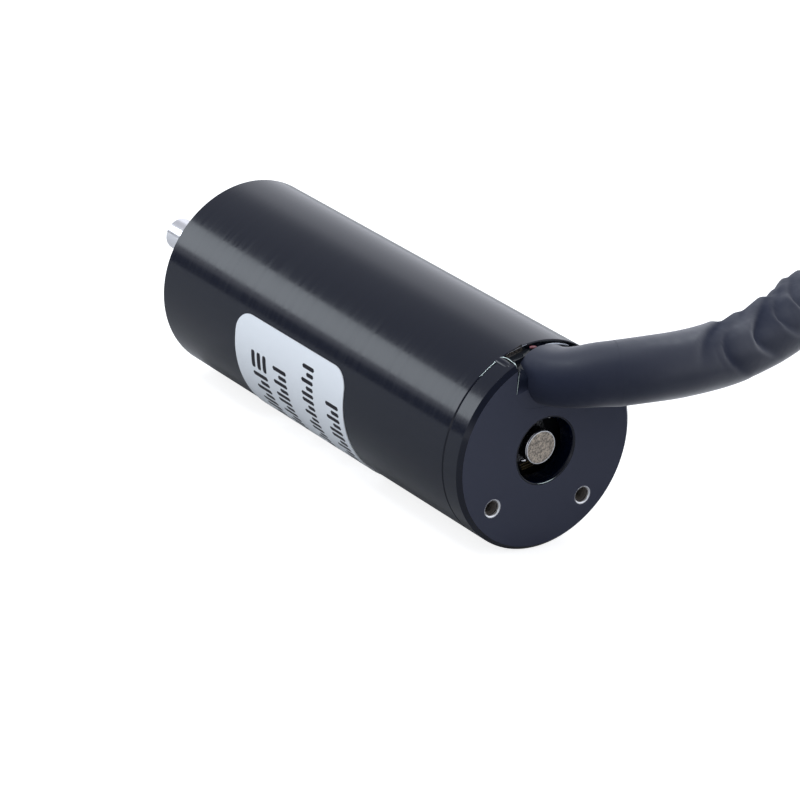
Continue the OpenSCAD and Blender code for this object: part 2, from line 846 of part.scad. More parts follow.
// Ring board behind the carrier, to which all wires are soldered
module terminal_board()
  color("#1a1d20")
    difference() {
      turned_ring(terminal_back, carrier_back, pocket_r - board_gap, pass_r + terminal_room);
      coil_lead_holes(terminal_back - cut, carrier_back + cut);
      pin_holes(terminal_back - cut, carrier_back + cut);
    }

// Places of the phase wires and of the sensor wires, as [y, z] from the middle of the sleeve's end
phase_places = [[-1.55, -0.8], [0, -0.55], [1.55, -0.8]];
sensor_places = [[-2, -1.95], [-1.05, -2.55], [0, -2.55], [1.05, -2.55], [2, -1.95]];

// Rods along X at places counted from the middle of the sleeve's end
module root_rods(places, x0, x1, r)
  for (p = places)
    translate([0, root_side + p[0], root_z + p[1]])
      rod_x(x0, x1, r);

// Solder joints: a cone under each wire, and a cone with a hole round each lead and pin
module solder_joints()
  color("#c8cace") {
    for (p = phase_places)
      translate([0, root_side + p[0], root_z + p[1]])
        solder_cone(phase_wire_d / 2, false);
    for (p = sensor_places)
      translate([0, root_side + p[0], root_z + p[1]])
        solder_cone(sensor_wire_d / 2, false);
    for (a = coil_lead_angles)
      at_angle(coil_lead_r, a)
        solder_cone(coil_lead_d / 2, true);
    for (y = pin_places())
      translate([0, y, -pin_drop])
        solder_cone(pin_d / 2, true);
  }

module solder_cone(r, open) {
  foot = open ? 0.3 : solder_foot;
  tip = open ? 0.12 : -solder_foot;
  difference() {
    translate([terminal_back, 0, 0])
      rotate([0, -90, 0])
        cylinder(h = solder_h, r1 = r + foot, r2 = r + tip, $fn = 32);
    if (open)
      rod_x(solder_back - cut, terminal_back + cut, r);
  }
}

module phase_wires()
  color("#b03028")
    root_rods(phase_places, root_x, solder_back, phase_wire_d / 2);

module sensor_wires()
  color("#303238")
    root_rods(sensor_places, root_x, solder_back, sensor_wire_d / 2);

// Glue in the slot, round the wires and against the sleeve's end,
// which fills the slot's rounded floor and ends in an arc just above the tube's bore
glue_steps = 3;
glue_turn = 54;
glue_top_r = seat_r + glue_rise;
function glue_foot(k) = [
  slot_w / 2 - slot_corner_r + (slot_corner_r - glue_gap) * sin(k * glue_turn / glue_steps),
  slot_floor + slot_corner_r - (slot_corner_r - glue_gap) * cos(k * glue_turn / glue_steps)
];
glue_top_turn = asin(glue_foot(glue_steps)[0] / glue_top_r);
glue_outline = concat(
  [for (k = [0 : glue_steps]) glue_foot(k)],
  [for (k = [2 : -1 : -2]) glue_top_r * [sin(k * glue_top_turn / 2), cos(k * glue_top_turn / 2)]],
  [for (k = [glue_steps : -1 : 0]) [-glue_foot(k)[0], glue_foot(k)[1]]]
);
module adhesive()
  color("#8f949c")
    difference() {
      translate([root_x, 0, 0])
        rotate([90, 0, 90])
          linear_extrude(height = root_start - 0.05)
            polygon(glue_outline);
      root_rods(phase_places, root_x - cut, joint_x + cut, phase_wire_d / 2 + wire_room);
      root_rods(sensor_places, root_x - cut, joint_x + cut, sensor_wire_d / 2 + wire_room);
    }

// First bend of the sleeve, set in the slot: an arc and a short straight stretch
module lead_root()
  color("#2f3138")
    swept_tube(root_route, root_r, lead_d / 2, root_sides, [-1, 0, 0]);

// Sleeved lead: one tube along the route
module lead_tube()
  color("#2f3138")
    swept_tube(lead_route, lead_d / 2, lead_d / 2, lead_sides, root_heading);

// Places of the contacts, as [column, row] counted from the middle
contact_places = [
  for (row = [-0.5, 0.5])
    for (col = [0 : contact_cols - 1])
      [col - (contact_cols - 1) / 2, row]
];

// Wires that fan out from the sleeve's end to the connector
module lead_wires() {
  plain = 1;
  color("#26262a")
    for (c = contact_places) {
      near = [lead_end[0] + c[0] * tail_pitch, 0, plug_z + c[1] * tail_pitch];
      far = [lead_end[0] + c[0] * contact_pitch, 0, plug_z + c[1] * contact_pitch];
      wire([
        near + [0, lead_end[1], 0], near + [0, lead_end[1] + plain, 0],
        far + [0, plug_back_y - plain, 0], far + [0, plug_back_y, 0]
      ], tail_wire_d / 2);
    }
}

// Moulded connector: rounded block, contact cavities, two keys and a latch arm
module connector_housing() {
  half = plug_w / 2;
  top = plug_z + plug_h / 2;
  color("#1d1e22")
    translate([lead_end[0], 0, 0])
      difference() {
        union() {
          translate([0, plug_back_y, plug_z])
            rotate([-90, 0, 0])
              linear_extrude(height = plug_len)
                rounded_rect(plug_w, plug_h, plug_corner_r);
          // Foot of the latch at the front, its arm back over the housing, and its thumb pad
          translate([-latch_w / 2, plug_front_y - latch_foot_in, top - latch_sunk])
            cube([latch_w, latch_foot_len, latch_sunk + latch_gap + latch_t]);
          translate([-latch_w / 2, plug_back_y + latch_start, top + latch_gap])
            cube([latch_w, plug_len - latch_start - latch_foot_in, latch_t]);
          translate([-latch_w / 2 - thumb_side, plug_back_y + latch_start, top + latch_gap])
            cube([latch_w + 2 * thumb_side, thumb_len, latch_t + thumb_rise]);
          // Keys on both sides
          for (side = [-1, 1])
            translate([side * half - key_out, plug_back_y + key_in, plug_z - key_w / 2])
              cube([2 * key_out, plug_len - 2 * key_in, key_w]);
        }
        for (c = contact_places)
          translate([c[0] * contact_pitch - cavity_w / 2, plug_front_y - cavity_depth,
                     plug_z + c[1] * contact_pitch - cavity_w / 2])
            cube([cavity_w, cavity_depth + cut, cavity_w]);
      }
}

module rounded_rect(w, h, r) {
  square([w - 2 * r, h], center = true);
  square([w, h - 2 * r], center = true);
  for (x = [-1, 1])
    for (y = [-1, 1])
      translate([x * (w / 2 - r), y * (h / 2 - r)])
        circle(r = r, $fn = 24);
}

// Box contacts at the bottom of the cavities
module connector_contacts()
  color("#cfb56a")
    for (c = contact_places)
      translate([lead_end[0] + c[0] * contact_pitch, plug_front_y - cavity_depth,
                 plug_z + c[1] * contact_pitch - cavity_w / 2])
        difference() {
          translate([-contact_w / 2, 0, 0])
            cube([contact_w, contact_len, contact_w]);
          translate([-contact_open / 2, contact_floor, (contact_w - contact_open) / 2])
            cube([contact_open, contact_len, contact_open]);
        }

housing();
front_flange();
rear_cap();
label();
front_bearing_outer();
front_bearing_inner();
front_bearing_balls();
front_bearing_cage();
front_bearing_shields();
rear_bearing_outer();
rear_bearing_inner();
rear_bearing_balls();
rear_bearing_cage();
rear_bearing_shields();
wave_spring();
rear_bearing_carrier();
shaft();
rotor_magnet();
front_balance_ring();
rear_balance_ring();
front_spacer();
rear_spacer();
lamination_stack();
insulation_liner();
coil_winding();
coil_leads();
hall_board();
hall_sensors();
board_pins();
terminal_board();
solder_joints();
phase_wires();
sensor_wires();
adhesive();
lead_root();
lead_tube();
lead_wires();
connector_housing();
connector_contacts();
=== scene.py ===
import math

import bpy
from mathutils import Matrix, Vector, noise


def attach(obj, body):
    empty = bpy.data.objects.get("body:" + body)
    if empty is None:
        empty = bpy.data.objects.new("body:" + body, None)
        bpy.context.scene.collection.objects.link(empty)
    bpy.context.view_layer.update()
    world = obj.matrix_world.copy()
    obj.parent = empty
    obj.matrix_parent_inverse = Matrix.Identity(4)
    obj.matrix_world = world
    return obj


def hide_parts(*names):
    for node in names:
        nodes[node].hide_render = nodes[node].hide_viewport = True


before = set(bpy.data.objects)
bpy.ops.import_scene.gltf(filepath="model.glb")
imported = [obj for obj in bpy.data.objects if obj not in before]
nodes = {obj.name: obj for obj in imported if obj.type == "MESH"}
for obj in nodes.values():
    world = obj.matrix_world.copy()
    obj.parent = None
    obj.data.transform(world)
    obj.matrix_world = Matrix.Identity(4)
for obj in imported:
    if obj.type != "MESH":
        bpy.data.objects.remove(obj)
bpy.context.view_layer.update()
scene = bpy.context.scene
MM = 0.001

# Camera: its place in metres, then its directions to the right, up and back
CAMERA_PLACE = (-0.361351, 0.263843, 0.149832)
CAMERA_RIGHT = Vector((-0.58338, -0.80164, 0.13056))
CAMERA_UP = Vector((0.35215, -0.1048, 0.93006))
CAMERA_BACK = Vector((-0.73189, 0.58855, 0.34344))
LENS_MM = 173.7385
SENSOR_MM = 36.0

camera_data = bpy.data.cameras.new("camera")
camera_data.lens = LENS_MM
camera_data.sensor_width = SENSOR_MM
camera_data.sensor_height = SENSOR_MM
camera_data.sensor_fit = "HORIZONTAL"
camera_data.clip_start = 0.01
camera_data.clip_end = 20
camera = bpy.data.objects.new("camera", camera_data)
camera.matrix_world = Matrix.Translation(CAMERA_PLACE) @ Matrix(
    (CAMERA_RIGHT, CAMERA_UP, CAMERA_BACK)
).transposed().to_4x4()
scene.collection.objects.link(camera)
scene.camera = camera
scene.view_settings.view_transform = "Standard"
scene.view_settings.look = "None"

# Sizes of the solids, in millimetres
BODY_R = 12.0
CAP_BACK = -60.0
BOARD_BACK = -55.8
SHAFT_BACK = -59.1
SHAFT_R = 2.0
LEAD_R = 3.7
ROOT_R = 3.68
ROOT_START = Vector((-58.2, 0.6, 8.9))
ROOT_BEND_R = 4.8
ROOT_TURN = math.radians(64)
ROOT_RISE = math.radians(12)
ROOT_RUN = 3.4
REAR_HOLES = ((6.402, -6.183), (-6.402, -6.183))
REAR_TAP_R = 0.8
REAR_PITCH = 0.4
COUNTERSINK_R = 1.1
FRONT_TAP_R = 1.025
FRONT_PITCH = 0.45
FRONT_PCD_R = 8.5
TAP_DEPTH = 4.5


# Finishes
NOISE_DETAIL = 3
NOISE_RANGE = (0.3, 0.7)
BUMP_HIGH = 0.05
BEVEL_SAMPLES = 6
FLECK_DETAIL = 4
FLECK_RANGE = (0.35, 0.68)


def node_material(name, color, metallic=0.0, roughness=0.4, spread=0.05, grain=900.0,
                  bump=0.05, stretch=(1, 1, 1), ior=1.5, spots=None, edge=0.0):
    """A procedural finish: noise varies the roughness and lifts the surface a little. Spots are
    a second colour and how close together its flecks are; edge rounds the edges, in
    millimetres."""
    material = bpy.data.materials.new(name)
    material.use_nodes = True
    tree = material.node_tree
    shader = tree.nodes["Principled BSDF"]
    shader.inputs["Metallic"].default_value = metallic
    shader.inputs["IOR"].default_value = ior
    shader.inputs["Base Color"].default_value = (*color, 1)
    place = tree.nodes.new("ShaderNodeTexCoord")
    scaled = tree.nodes.new("ShaderNodeMapping")
    scaled.inputs["Scale"].default_value = stretch
    tree.links.new(place.outputs["Object"], scaled.inputs["Vector"])
    cloud = tree.nodes.new("ShaderNodeTexNoise")
    cloud.inputs["Scale"].default_value = grain
    cloud.inputs["Detail"].default_value = NOISE_DETAIL
    tree.links.new(scaled.outputs["Vector"], cloud.inputs["Vector"])
    level = tree.nodes.new("ShaderNodeMapRange")
    level.inputs["From Min"].default_value = NOISE_RANGE[0]
    level.inputs["From Max"].default_value = NOISE_RANGE[1]
    level.inputs["To Min"].default_value = max(0.02, roughness - spread)
    level.inputs["To Max"].default_value = min(1.0, roughness + spread)
    tree.links.new(cloud.outputs["Fac"], level.inputs["Value"])
    tree.links.new(level.outputs["Result"], shader.inputs["Roughness"])
    if bump:
        lift = tree.nodes.new("ShaderNodeBump")
        lift.inputs["Strength"].default_value = bump
        lift.inputs["Distance"].default_value = BUMP_HIGH * MM
        tree.links.new(cloud.outputs["Fac"], lift.inputs["Height"])
        if edge:
            round_off = tree.nodes.new("ShaderNodeBevel")
            round_off.samples = BEVEL_SAMPLES
            round_off.inputs["Radius"].default_value = edge * MM
            tree.links.new(round_off.outputs["Normal"], lift.inputs["Normal"])
        tree.links.new(lift.outputs["Normal"], shader.inputs["Normal"])
    if spots:
        fleck = tree.nodes.new("ShaderNodeTexNoise")
        fleck.inputs["Scale"].default_value = spots[1]
        fleck.inputs["Detail"].default_value = FLECK_DETAIL
        tree.links.new(place.outputs["Object"], fleck.inputs["Vector"])
        ramp = tree.nodes.new("ShaderNodeValToRGB")
        ramp.color_ramp.elements[0].position = FLECK_RANGE[0]
        ramp.color_ramp.elements[0].color = (*color, 1)
        ramp.color_ramp.elements[1].position = FLECK_RANGE[1]
        ramp.color_ramp.elements[1].color = (*spots[0], 1)
        tree.links.new(fleck.outputs["Fac"], ramp.inputs["Fac"])
        tree.links.new(ramp.outputs["Color"], shader.inputs["Base Color"])
    return material


TURNED = (1, 0.03, 0.03)
MATERIALS = {
    "anodised_black": node_material("anodised_black", (0.001, 0.003, 0.011), 0, 0.15, 0.05,
                                    2500, 0.04, TURNED, ior=1.42),
    "cap_black": node_material("cap_black", (0.001, 0.003, 0.011), 0, 0.15, 0.04, 2600, 0.04,
                               ior=1.42, edge=0.03),
    "cap_face": node_material("cap_face", (0.027, 0.032, 0.058), 0, 0.32, 0.03, 900, 0.0,
                              ior=1.46),
    "label_film": node_material("label_film", (0.74, 0.77, 0.80), 0, 0.32, 0.04, 600, 0.02),
    "label_edge": node_material("label_edge", (0.86, 0.88, 0.88), 0, 0.4, 0.04, 600, 0.02),
    "print_black": node_material("print_black", (0.012, 0.011, 0.016), 0, 0.4, 0.05, 800, 0.0,
                                 ior=1.25),
    "hole_shade": node_material("hole_shade", (0.22, 0.20, 0.18), 0.3, 0.4, 0.08, 3000, 0.1),
    # Painted highlights: finishes of the bright glint beads
    "painted_soft_glint": node_material("painted_soft_glint", (0.40, 0.43, 0.48), 0.3, 0.4, 0.05, 2500, 0.05),
    "edge_glint": node_material("edge_glint", (0.55, 0.64, 0.62), 1, 0.25, 0.05, 2500, 0.05),
    "bearing_steel": node_material("bearing_steel", (0.55, 0.56, 0.58), 1, 0.2, 0.05, 2500,
                                   0.05, TURNED),
    "ball_steel": node_material("ball_steel", (0.75, 0.76, 0.78), 1, 0.06, 0.02, 900, 0.0),
    "cage_brass": node_material("cage_brass", (0.62, 0.47, 0.22), 1, 0.3, 0.06, 1500, 0.08),
    "spring_steel": node_material("spring_steel", (0.42, 0.43, 0.45), 1, 0.28, 0.05, 1800, 0.06),
    "plain_aluminium": node_material("plain_aluminium", (0.66, 0.67, 0.69), 1, 0.3, 0.06, 2200,
                                     0.08, TURNED),
    "shaft_steel": node_material("shaft_steel", (0.85, 0.85, 0.88), 1, 0.19, 0.04, 3000, 0.05,
                                 TURNED),
    "magnet_grey": node_material("magnet_grey", (0.30, 0.30, 0.31), 1, 0.35, 0.06, 1200, 0.1),
    "balance_brass": node_material("balance_brass", (0.60, 0.46, 0.24), 1, 0.28, 0.05, 2000,
                                   0.06, TURNED),
    "lamination_steel": node_material("lamination_steel", (0.28, 0.28, 0.29), 1, 0.4, 0.08,
                                      6000, 0.5, TURNED),
    "liner_film": node_material("liner_film", (0.55, 0.40, 0.14), 0, 0.3, 0.05, 700, 0.05),
    "winding_copper": node_material("winding_copper", (0.60, 0.22, 0.08), 0.7, 0.3, 0.06, 1600,
                                    0.15),
    "board_black": node_material("board_black", (0.006, 0.007, 0.009), 0, 0.3, 0.05, 900, 0.05),
    "board_green": node_material("board_green", (0.02, 0.11, 0.05), 0, 0.35, 0.05, 900, 0.05),
    "sensor_black": node_material("sensor_black", (0.02, 0.02, 0.022), 0, 0.5, 0.06, 1200, 0.1),
    "contact_gold": node_material("contact_gold", (0.80, 0.60, 0.26), 1, 0.22, 0.05, 1200, 0.05),
    "solder_tin": node_material("solder_tin", (0.62, 0.62, 0.63), 1, 0.25, 0.06, 1200, 0.1),
    "wire_red": node_material("wire_red", (0.42, 0.02, 0.03), 0, 0.4, 0.05, 1200, 0.05),
    "wire_dark": node_material("wire_dark", (0.02, 0.02, 0.023), 0, 0.42, 0.05, 1200, 0.05),
    "glue_clear": node_material("glue_clear", (0.006, 0.008, 0.011), 0, 0.12, 0.05, 1100, 0.12),
    # Painted shade for the glue in the slot's gap
    "glue_painted_shade": node_material("glue_painted_shade", (0.003, 0.004, 0.008), 0, 0.5, 0.05, 1100, 0.12,
                                ior=1.15),
    "glue_dusty": node_material("glue_dusty", (0.010, 0.010, 0.011), 0, 0.22, 0.08, 2600, 0.5,
                                spots=((0.10, 0.085, 0.07), 4200)),
    "wire_glimpse": node_material("wire_glimpse", (0.15, 0.03, 0.04), 0, 0.35, 0.05, 1200, 0.1),
    "sleeve_black": node_material("sleeve_black", (0.014, 0.018, 0.036), 0, 0.44, 0.06, 900,
                                  0.12, ior=1.45),
    "connector_black": node_material("connector_black", (0.016, 0.016, 0.018), 0, 0.45, 0.06,
                                     1500, 0.12),
    "cut_metal": node_material("cut_metal", (0.80, 0.81, 0.83), 1, 0.2, 0.05, 2500, 0.05),
    "shaft_face": node_material("shaft_face", (0.17, 0.15, 0.13), 0.2, 0.42, 0.1, 6000, 0.5,
                                spots=((0.70, 0.60, 0.48), 5200)),
}


def attribute_value(tree, name):
    """A number that the mesh holds for each point."""
    node = tree.nodes.new("ShaderNodeAttribute")
    node.attribute_name = name
    return node.outputs["Fac"]


def blended_value(tree, value, low, high):
    """A number that runs from low, which may be a socket, to high as the value goes from 0 to 1."""
    node = tree.nodes.new("ShaderNodeMapRange")
    node.inputs["To Max"].default_value = high
    if isinstance(low, float):
        node.inputs["To Min"].default_value = low
    else:
        tree.links.new(low, node.inputs["To Min"])
    tree.links.new(value, node.inputs["Value"])
    return node.outputs["Result"]


# Painted shade and painted sheen on the sleeve: sheen levels, and gloss and roughness where fold shade
# is painted
SHEEN_ROUGHNESS = 0.48
SHEEN_PLAIN = 0.24
SHEEN_UNDERSIDE = 1.0
GLOSS_PLAIN = 0.5
GLOSS_IN_FOLD = 0.06
ROUGHER_IN_FOLD = 0.4


def finish_sleeve():
    """Painted shade and painted sheen on the sleeve: gloss and sheen drop and roughness rises where
    fold shade is painted, and the sheen is painted stronger on the underside.
    """
    tree = MATERIALS["sleeve_black"].node_tree
    shader = tree.nodes["Principled BSDF"]
    shader.inputs["Sheen Roughness"].default_value = SHEEN_ROUGHNESS
    fold = attribute_value(tree, "painted_fold_shade")
    underside = attribute_value(tree, "underside")
    gloss = blended_value(tree, fold, GLOSS_PLAIN, GLOSS_IN_FOLD)
    tree.links.new(gloss, shader.inputs["Specular IOR Level"])
    # Painted sheen, stronger on the underside, and none where fold shade is painted
    painted_sheen = blended_value(tree, underside, SHEEN_PLAIN, SHEEN_UNDERSIDE)
    tree.links.new(blended_value(tree, fold, painted_sheen, 0.0), shader.inputs["Sheen Weight"])
    rougher = tree.nodes.new("ShaderNodeMath")
    rougher.operation = "MULTIPLY_ADD"
    rougher.inputs[1].default_value = ROUGHER_IN_FOLD
    tree.links.new(fold, rougher.inputs[0])
    tree.links.new(shader.inputs["Roughness"].links[0].from_socket, rougher.inputs[2])
    tree.links.new(rougher.outputs[0], shader.inputs["Roughness"])


# Painted shade in the slot's gap: heights where it fades in, the face's tone below and the shade above
GLUE_SHADE_LOW = 6.6
GLUE_SHADE_HIGH = 8.3
GLUE_SHADE_LOW_COLOR = (0.052, 0.057, 0.090, 1)
PAINTED_SHADE_COLOR = (0.008, 0.011, 0.022, 1)


def finish_glue_shade():
    """Painted shade: the glue is dark high in the slot's gap, and this runs into the tone of the cap's
    face at its lower end.
    """
    tree = MATERIALS["glue_painted_shade"].node_tree
    spot = tree.nodes.new("ShaderNodeSeparateXYZ")
    tree.links.new(tree.nodes["Texture Coordinate"].outputs["Object"], spot.inputs[0])
    fading = tree.nodes.new("ShaderNodeMapRange")
    fading.interpolation_type = "SMOOTHSTEP"
    fading.inputs["From Min"].default_value = GLUE_SHADE_LOW * MM
    fading.inputs["From Max"].default_value = GLUE_SHADE_HIGH * MM
    tree.links.new(spot.outputs["Z"], fading.inputs["Value"])
    tones = tree.nodes.new("ShaderNodeValToRGB")
    tones.color_ramp.elements[0].color = GLUE_SHADE_LOW_COLOR
    tones.color_ramp.elements[1].color = PAINTED_SHADE_COLOR
    tree.links.new(fading.outputs["Result"], tones.inputs["Fac"])
    tree.links.new(tones.outputs["Color"], tree.nodes["Principled BSDF"].inputs["Base Color"])


finish_sleeve()
finish_glue_shade()

NODE_FINISH = {
    "anodised_black": ["housing", "front_flange"],
    "cap_black": ["rear_cap"],
    "label_film": ["label"],
    "bearing_steel": ["front_bearing_outer", "front_bearing_inner", "rear_bearing_outer",
                      "rear_bearing_inner", "front_spacer", "rear_spacer"],
    "ball_steel": ["front_bearing_balls", "rear_bearing_balls"],
    "cage_brass": ["front_bearing_cage", "rear_bearing_cage"],
    "spring_steel": ["front_bearing_shields", "rear_bearing_shields", "wave_spring"],
    "plain_aluminium": ["rear_bearing_carrier"],
    "shaft_steel": ["shaft"],
    "magnet_grey": ["rotor_magnet"],
    "balance_brass": ["front_balance_ring", "rear_balance_ring"],
    "lamination_steel": ["lamination_stack"],
    "liner_film": ["insulation_liner"],
    "winding_copper": ["coil_winding", "coil_leads"],
    "board_black": ["terminal_board"],
    "board_green": ["hall_board"],
    "sensor_black": ["hall_sensors"],
    "contact_gold": ["board_pins", "connector_contacts"],
    "solder_tin": ["solder_joints"],
    "wire_red": ["phase_wires"],
    "wire_dark": ["sensor_wires", "lead_wires"],
    "glue_clear": ["adhesive"],
    "sleeve_black": ["lead_root", "lead_tube"],
    "connector_black": ["connector_housing"],
}
for finish_name, members in NODE_FINISH.items():
    for member in members:
        mesh = nodes[member].data
        mesh.materials.clear()
        mesh.materials.append(MATERIALS[finish_name])

# The cap's flat face has a duller finish than its turned rim; its facets look straight back
LOOKS_BACK = -0.98
cap_mesh = nodes["rear_cap"].data
cap_mesh.materials.append(MATERIALS["cap_face"])
for polygon in cap_mesh.polygons:
    if polygon.normal.x < LOOKS_BACK:
        polygon.material_index = 1


# Mesh helpers
def piece(name, points, faces, material, body="stator", smooth=True):
    """A mesh from points in millimetres, in the row frame, which rides on a body."""
    mesh = bpy.data.meshes.new(name)
    mesh.from_pydata([tuple(c * MM for c in p) for p in points], [], faces)
    mesh.validate()
    for polygon in mesh.polygons:
        polygon.use_smooth = smooth
    mesh.materials.append(MATERIALS[material])
    obj = bpy.data.objects.new(name, mesh)
    scene.collection.objects.link(obj)
    if body:
        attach(obj, body)
    return obj


def point_values(obj, name, values):
    """A number for each point, which the material reads."""
    numbers = obj.data.attributes.new(name, "FLOAT", "POINT")
    for place, value in zip(numbers.data, values):
        place.value = value


def smooth(low, high, value):
    """0 at low, 1 at high, with an even start and end; low may be the larger one."""
    t = min(1, max(0, (value - low) / (high - low)))
    return t * t * (3 - 2 * t)


def on_circle(x, r, angle):
    """A point about the motor's axis, with the angle in radians from straight up."""
    return (x, r * math.sin(angle), r * math.cos(angle))


SPLINE_STEPS = 40


def spline(points, first, last, step):
    """Points along a smooth line through the given ones, in even steps."""
    rows = [points[0] - first] + list(points) + [points[-1] + last]
    fine = []
    for i in range(1, len(rows) - 2):
        a, b, c, d = rows[i - 1:i + 3]
        for k in range(SPLINE_STEPS):
            t = k / SPLINE_STEPS
            fine.append(0.5 * (2 * b + (c - a) * t + (2 * a - 5 * b + 4 * c - d) * t * t
                               + (3 * b - a - 3 * c + d) * t ** 3))
    fine.append(points[-1])
    along = [0.0]
    for a, b in zip(fine, fine[1:]):
        along.append(along[-1] + (b - a).length)
    count = max(2, round(along[-1] / step))
    out = []
    j = 0
    for i in range(count + 1):
        want = along[-1] * i / count
        while j < len(along) - 2 and along[j + 1] < want:
            j += 1
        part = (want - along[j]) / max(1e-9, along[j + 1] - along[j])
        out.append(fine[j].lerp(fine[j + 1], min(1, part)))
    return out


def frames(path, first=None, last=None):
    """For each point: how far along it is, and the tangent, up and side directions there."""
    out = []
    far = 0.0
    for i, p in enumerate(path):
        if i:
            far += (p - path[i - 1]).length
        way = path[min(i + 1, len(path) - 1)] - path[max(i - 1, 0)]
        if i == 0 and first:
            way = first
        if i == len(path) - 1 and last:
            way = last
        way = way.normalized()
        up = (Vector((0, 0, 1)) - way.z * way).normalized()
        out.append((far, way, up, way.cross(up)))
    return out


def band(faces, start, sides):
    """Faces between a closed row of points that begins at start and the row after it."""
    for k in range(sides):
        n = (k + 1) % sides
        faces.append((start + k, start + n, start + sides + n, start + sides + k))


def tube(path, lines, radius, sides):
    """Points and faces of a tube round the path; radius(far, angle, direction) in millimetres."""
    points = []
    faces = []
    for p, (far, way, up, side) in zip(path, lines):
        for k in range(sides):
            angle = 2 * math.pi * k / sides
            out = math.cos(angle) * up + math.sin(angle) * side
            points.append(p + radius(far, angle, out) * out)
    for i in range(len(path) - 1):
        band(faces, i * sides, sides)
    return points, faces


def turned(name, centres, rows, material, body="stator", sides=48):
    """A turned surface about a line along X through each centre (y, z); rows are (x, r)."""
    points = []
    faces = []
    for centre in centres:
        for i, (x, r) in enumerate(rows):
            if i:
                band(faces, len(points) - sides, sides)
            for k in range(sides):
                angle = 2 * math.pi * k / sides
                points.append((x, centre[0] + r * math.sin(angle), centre[1] + r * math.cos(angle)))
    piece(name, points, faces, material, body)


def drops(name, rows, material, rings=10, sides=16):
    """Closed rounded drops, each with its centre and its size along X, Y and Z."""
    points = []
    faces = []
    for centre, size in rows:
        for i in range(rings + 1):
            if i:
                band(faces, len(points) - sides, sides)
            a = math.pi * i / rings
            for k in range(sides):
                b = 2 * math.pi * k / sides
                points.append((centre[0] + size[0] * math.cos(a),
                               centre[1] + size[1] * math.sin(a) * math.sin(b),
                               centre[2] + size[2] * math.sin(a) * math.cos(b)))
    piece(name, points, faces, material)


GLINT_THINNEST = 0.01


def glint(name, path, length, thick, material, sides=10):
    """A painted highlight: a fine bright bead along an edge, thin at both ends."""
    points, faces = tube(path, frames(path), lambda far, angle, out: GLINT_THINNEST + thick
                         * math.sin(math.pi * min(1.0, far / length)) ** 0.5, sides)
    piece(name, points, faces, material)


# Sleeve of the lead
BACKWARD = Vector((-1, 0, 0))
RISE_WAY = Vector((0, -math.cos(ROOT_RISE), math.sin(ROOT_RISE)))
ROOT_HEADING = math.cos(ROOT_TURN) * BACKWARD + math.sin(ROOT_TURN) * RISE_WAY


def root_point(angle):
    """A point on the middle line of the first bend, at an angle from its start."""
    return (ROOT_START + ROOT_BEND_R * math.sin(angle) * BACKWARD
            + ROOT_BEND_R * (1 - math.cos(angle)) * RISE_WAY)


ROOT_END = root_point(ROOT_TURN) + ROOT_RUN * ROOT_HEADING
LEAD_ROUTE = [ROOT_END] + [Vector(p) for p in (
    (-65.1, -9, 10.6), (-65.5, -13, 10.9), (-65.1, -17, 11), (-64.2, -21, 11.1),
    (-62.9, -25, 11.2), (-61.4, -29, 11.4), (-59.7, -32.8, 11.6), (-57.8, -36.5, 11.7),
    (-55.8, -40.1, 11.5), (-53.3, -45.3, 10.5), (-51.4, -50.7, 8.6), (-50.1, -56.3, 5.4),
    (-49.7, -62, 1.6), (-49.9, -67.8, -2.2), (-50.9, -73.4, -5.4), (-52.5, -78.9, -7.5),
    (-54.8, -84.2, -8.3), (-58, -89, -8.3), (-62.3, -92.8, -8.3), (-67.3, -95.6, -8.3),
    (-72.9, -96.9, -8.3), (-78.7, -97, -8.3), (-84.2, -95.7, -8.3), (-89.3, -93.2, -8.3),
    (-93.7, -89.4, -8.3), (-97.1, -84.7, -8.3), (-99.3, -79.5, -8.3), (-100, -74, -8.3),
    (-100, -68, -8.3), (-100, -61, -8.3), (-100, -54, -8.3))]
LEAD_END_WAY = Vector((0, 1, 0))
SIDES = 96
SKIN_IN = 0.02

# Each crease: its line as (angle, station) pairs, groove depth, height of the ridge before it,
# how far the ridge rises and the groove fades, middle angle and spread
CREASES = [
    (((-39, 16.5), (-12, 13.8), (8, 10.8), (24, 9.4), (42, 8.4), (60, 8.0)),
     0.50, 0.18, 2.2, 2.3, -4, 98),
    (((16, 11.4), (38, 10.4), (60, 10.1), (80, 10.7), (102, 12.2)), 0.20, 0.06, 0.6, 0.6, 62, 46),
    (((-10, 17.6), (6, 14.6), (22, 12.6), (38, 11.6), (56, 11.2), (74, 11.6), (92, 13.0),
      (116, 15.4), (140, 18.4)), 0.44, 0.24, 0.7, 1.3, 66, 88),
    (((-39, 21.8), (-4, 17.4), (14, 15.2), (30, 14.2)), 0.36, 0.20, 1.2, 1.2, -25, 56),
    (((-39, 29.0), (-20, 25.6), (-4, 22.6), (14, 19.6), (34, 17.2), (48, 16.4), (60, 16.4),
      (80, 18.0), (106, 21.6), (130, 25.4)), 0.55, 0.46, 2.2, 1.8, 25, 118),
    (((-39, 32.6), (-20, 28.4), (2, 24.8), (28, 22.4), (48, 22.4), (68, 24.0), (82, 25.8),
      (110, 30.0)), 0.34, 0.54, 1.6, 1.2, 18, 112),
    (((-39, 36.5), (-20, 32.4), (10, 28.2), (36, 27.4), (60, 28.6), (90, 32.0)),
     0.30, 0.60, 1.8, 1.2, 4, 104),
    (((-39, 41.0), (-10, 36.5), (20, 33.4), (50, 32.8), (80, 35.0), (110, 39.0)),
     0.34, 0.54, 2.2, 1.4, 16, 108),
    (((-39, 47.0), (0, 42.5), (40, 40.2), (80, 42.6)), 0.30, 0.40, 2.4, 2.0, 10, 94),
    (((-39, 53.0), (10, 49.2), (50, 48.0), (80, 50.0)), 0.18, 0.20, 2.6, 2.4, 0, 86),
]
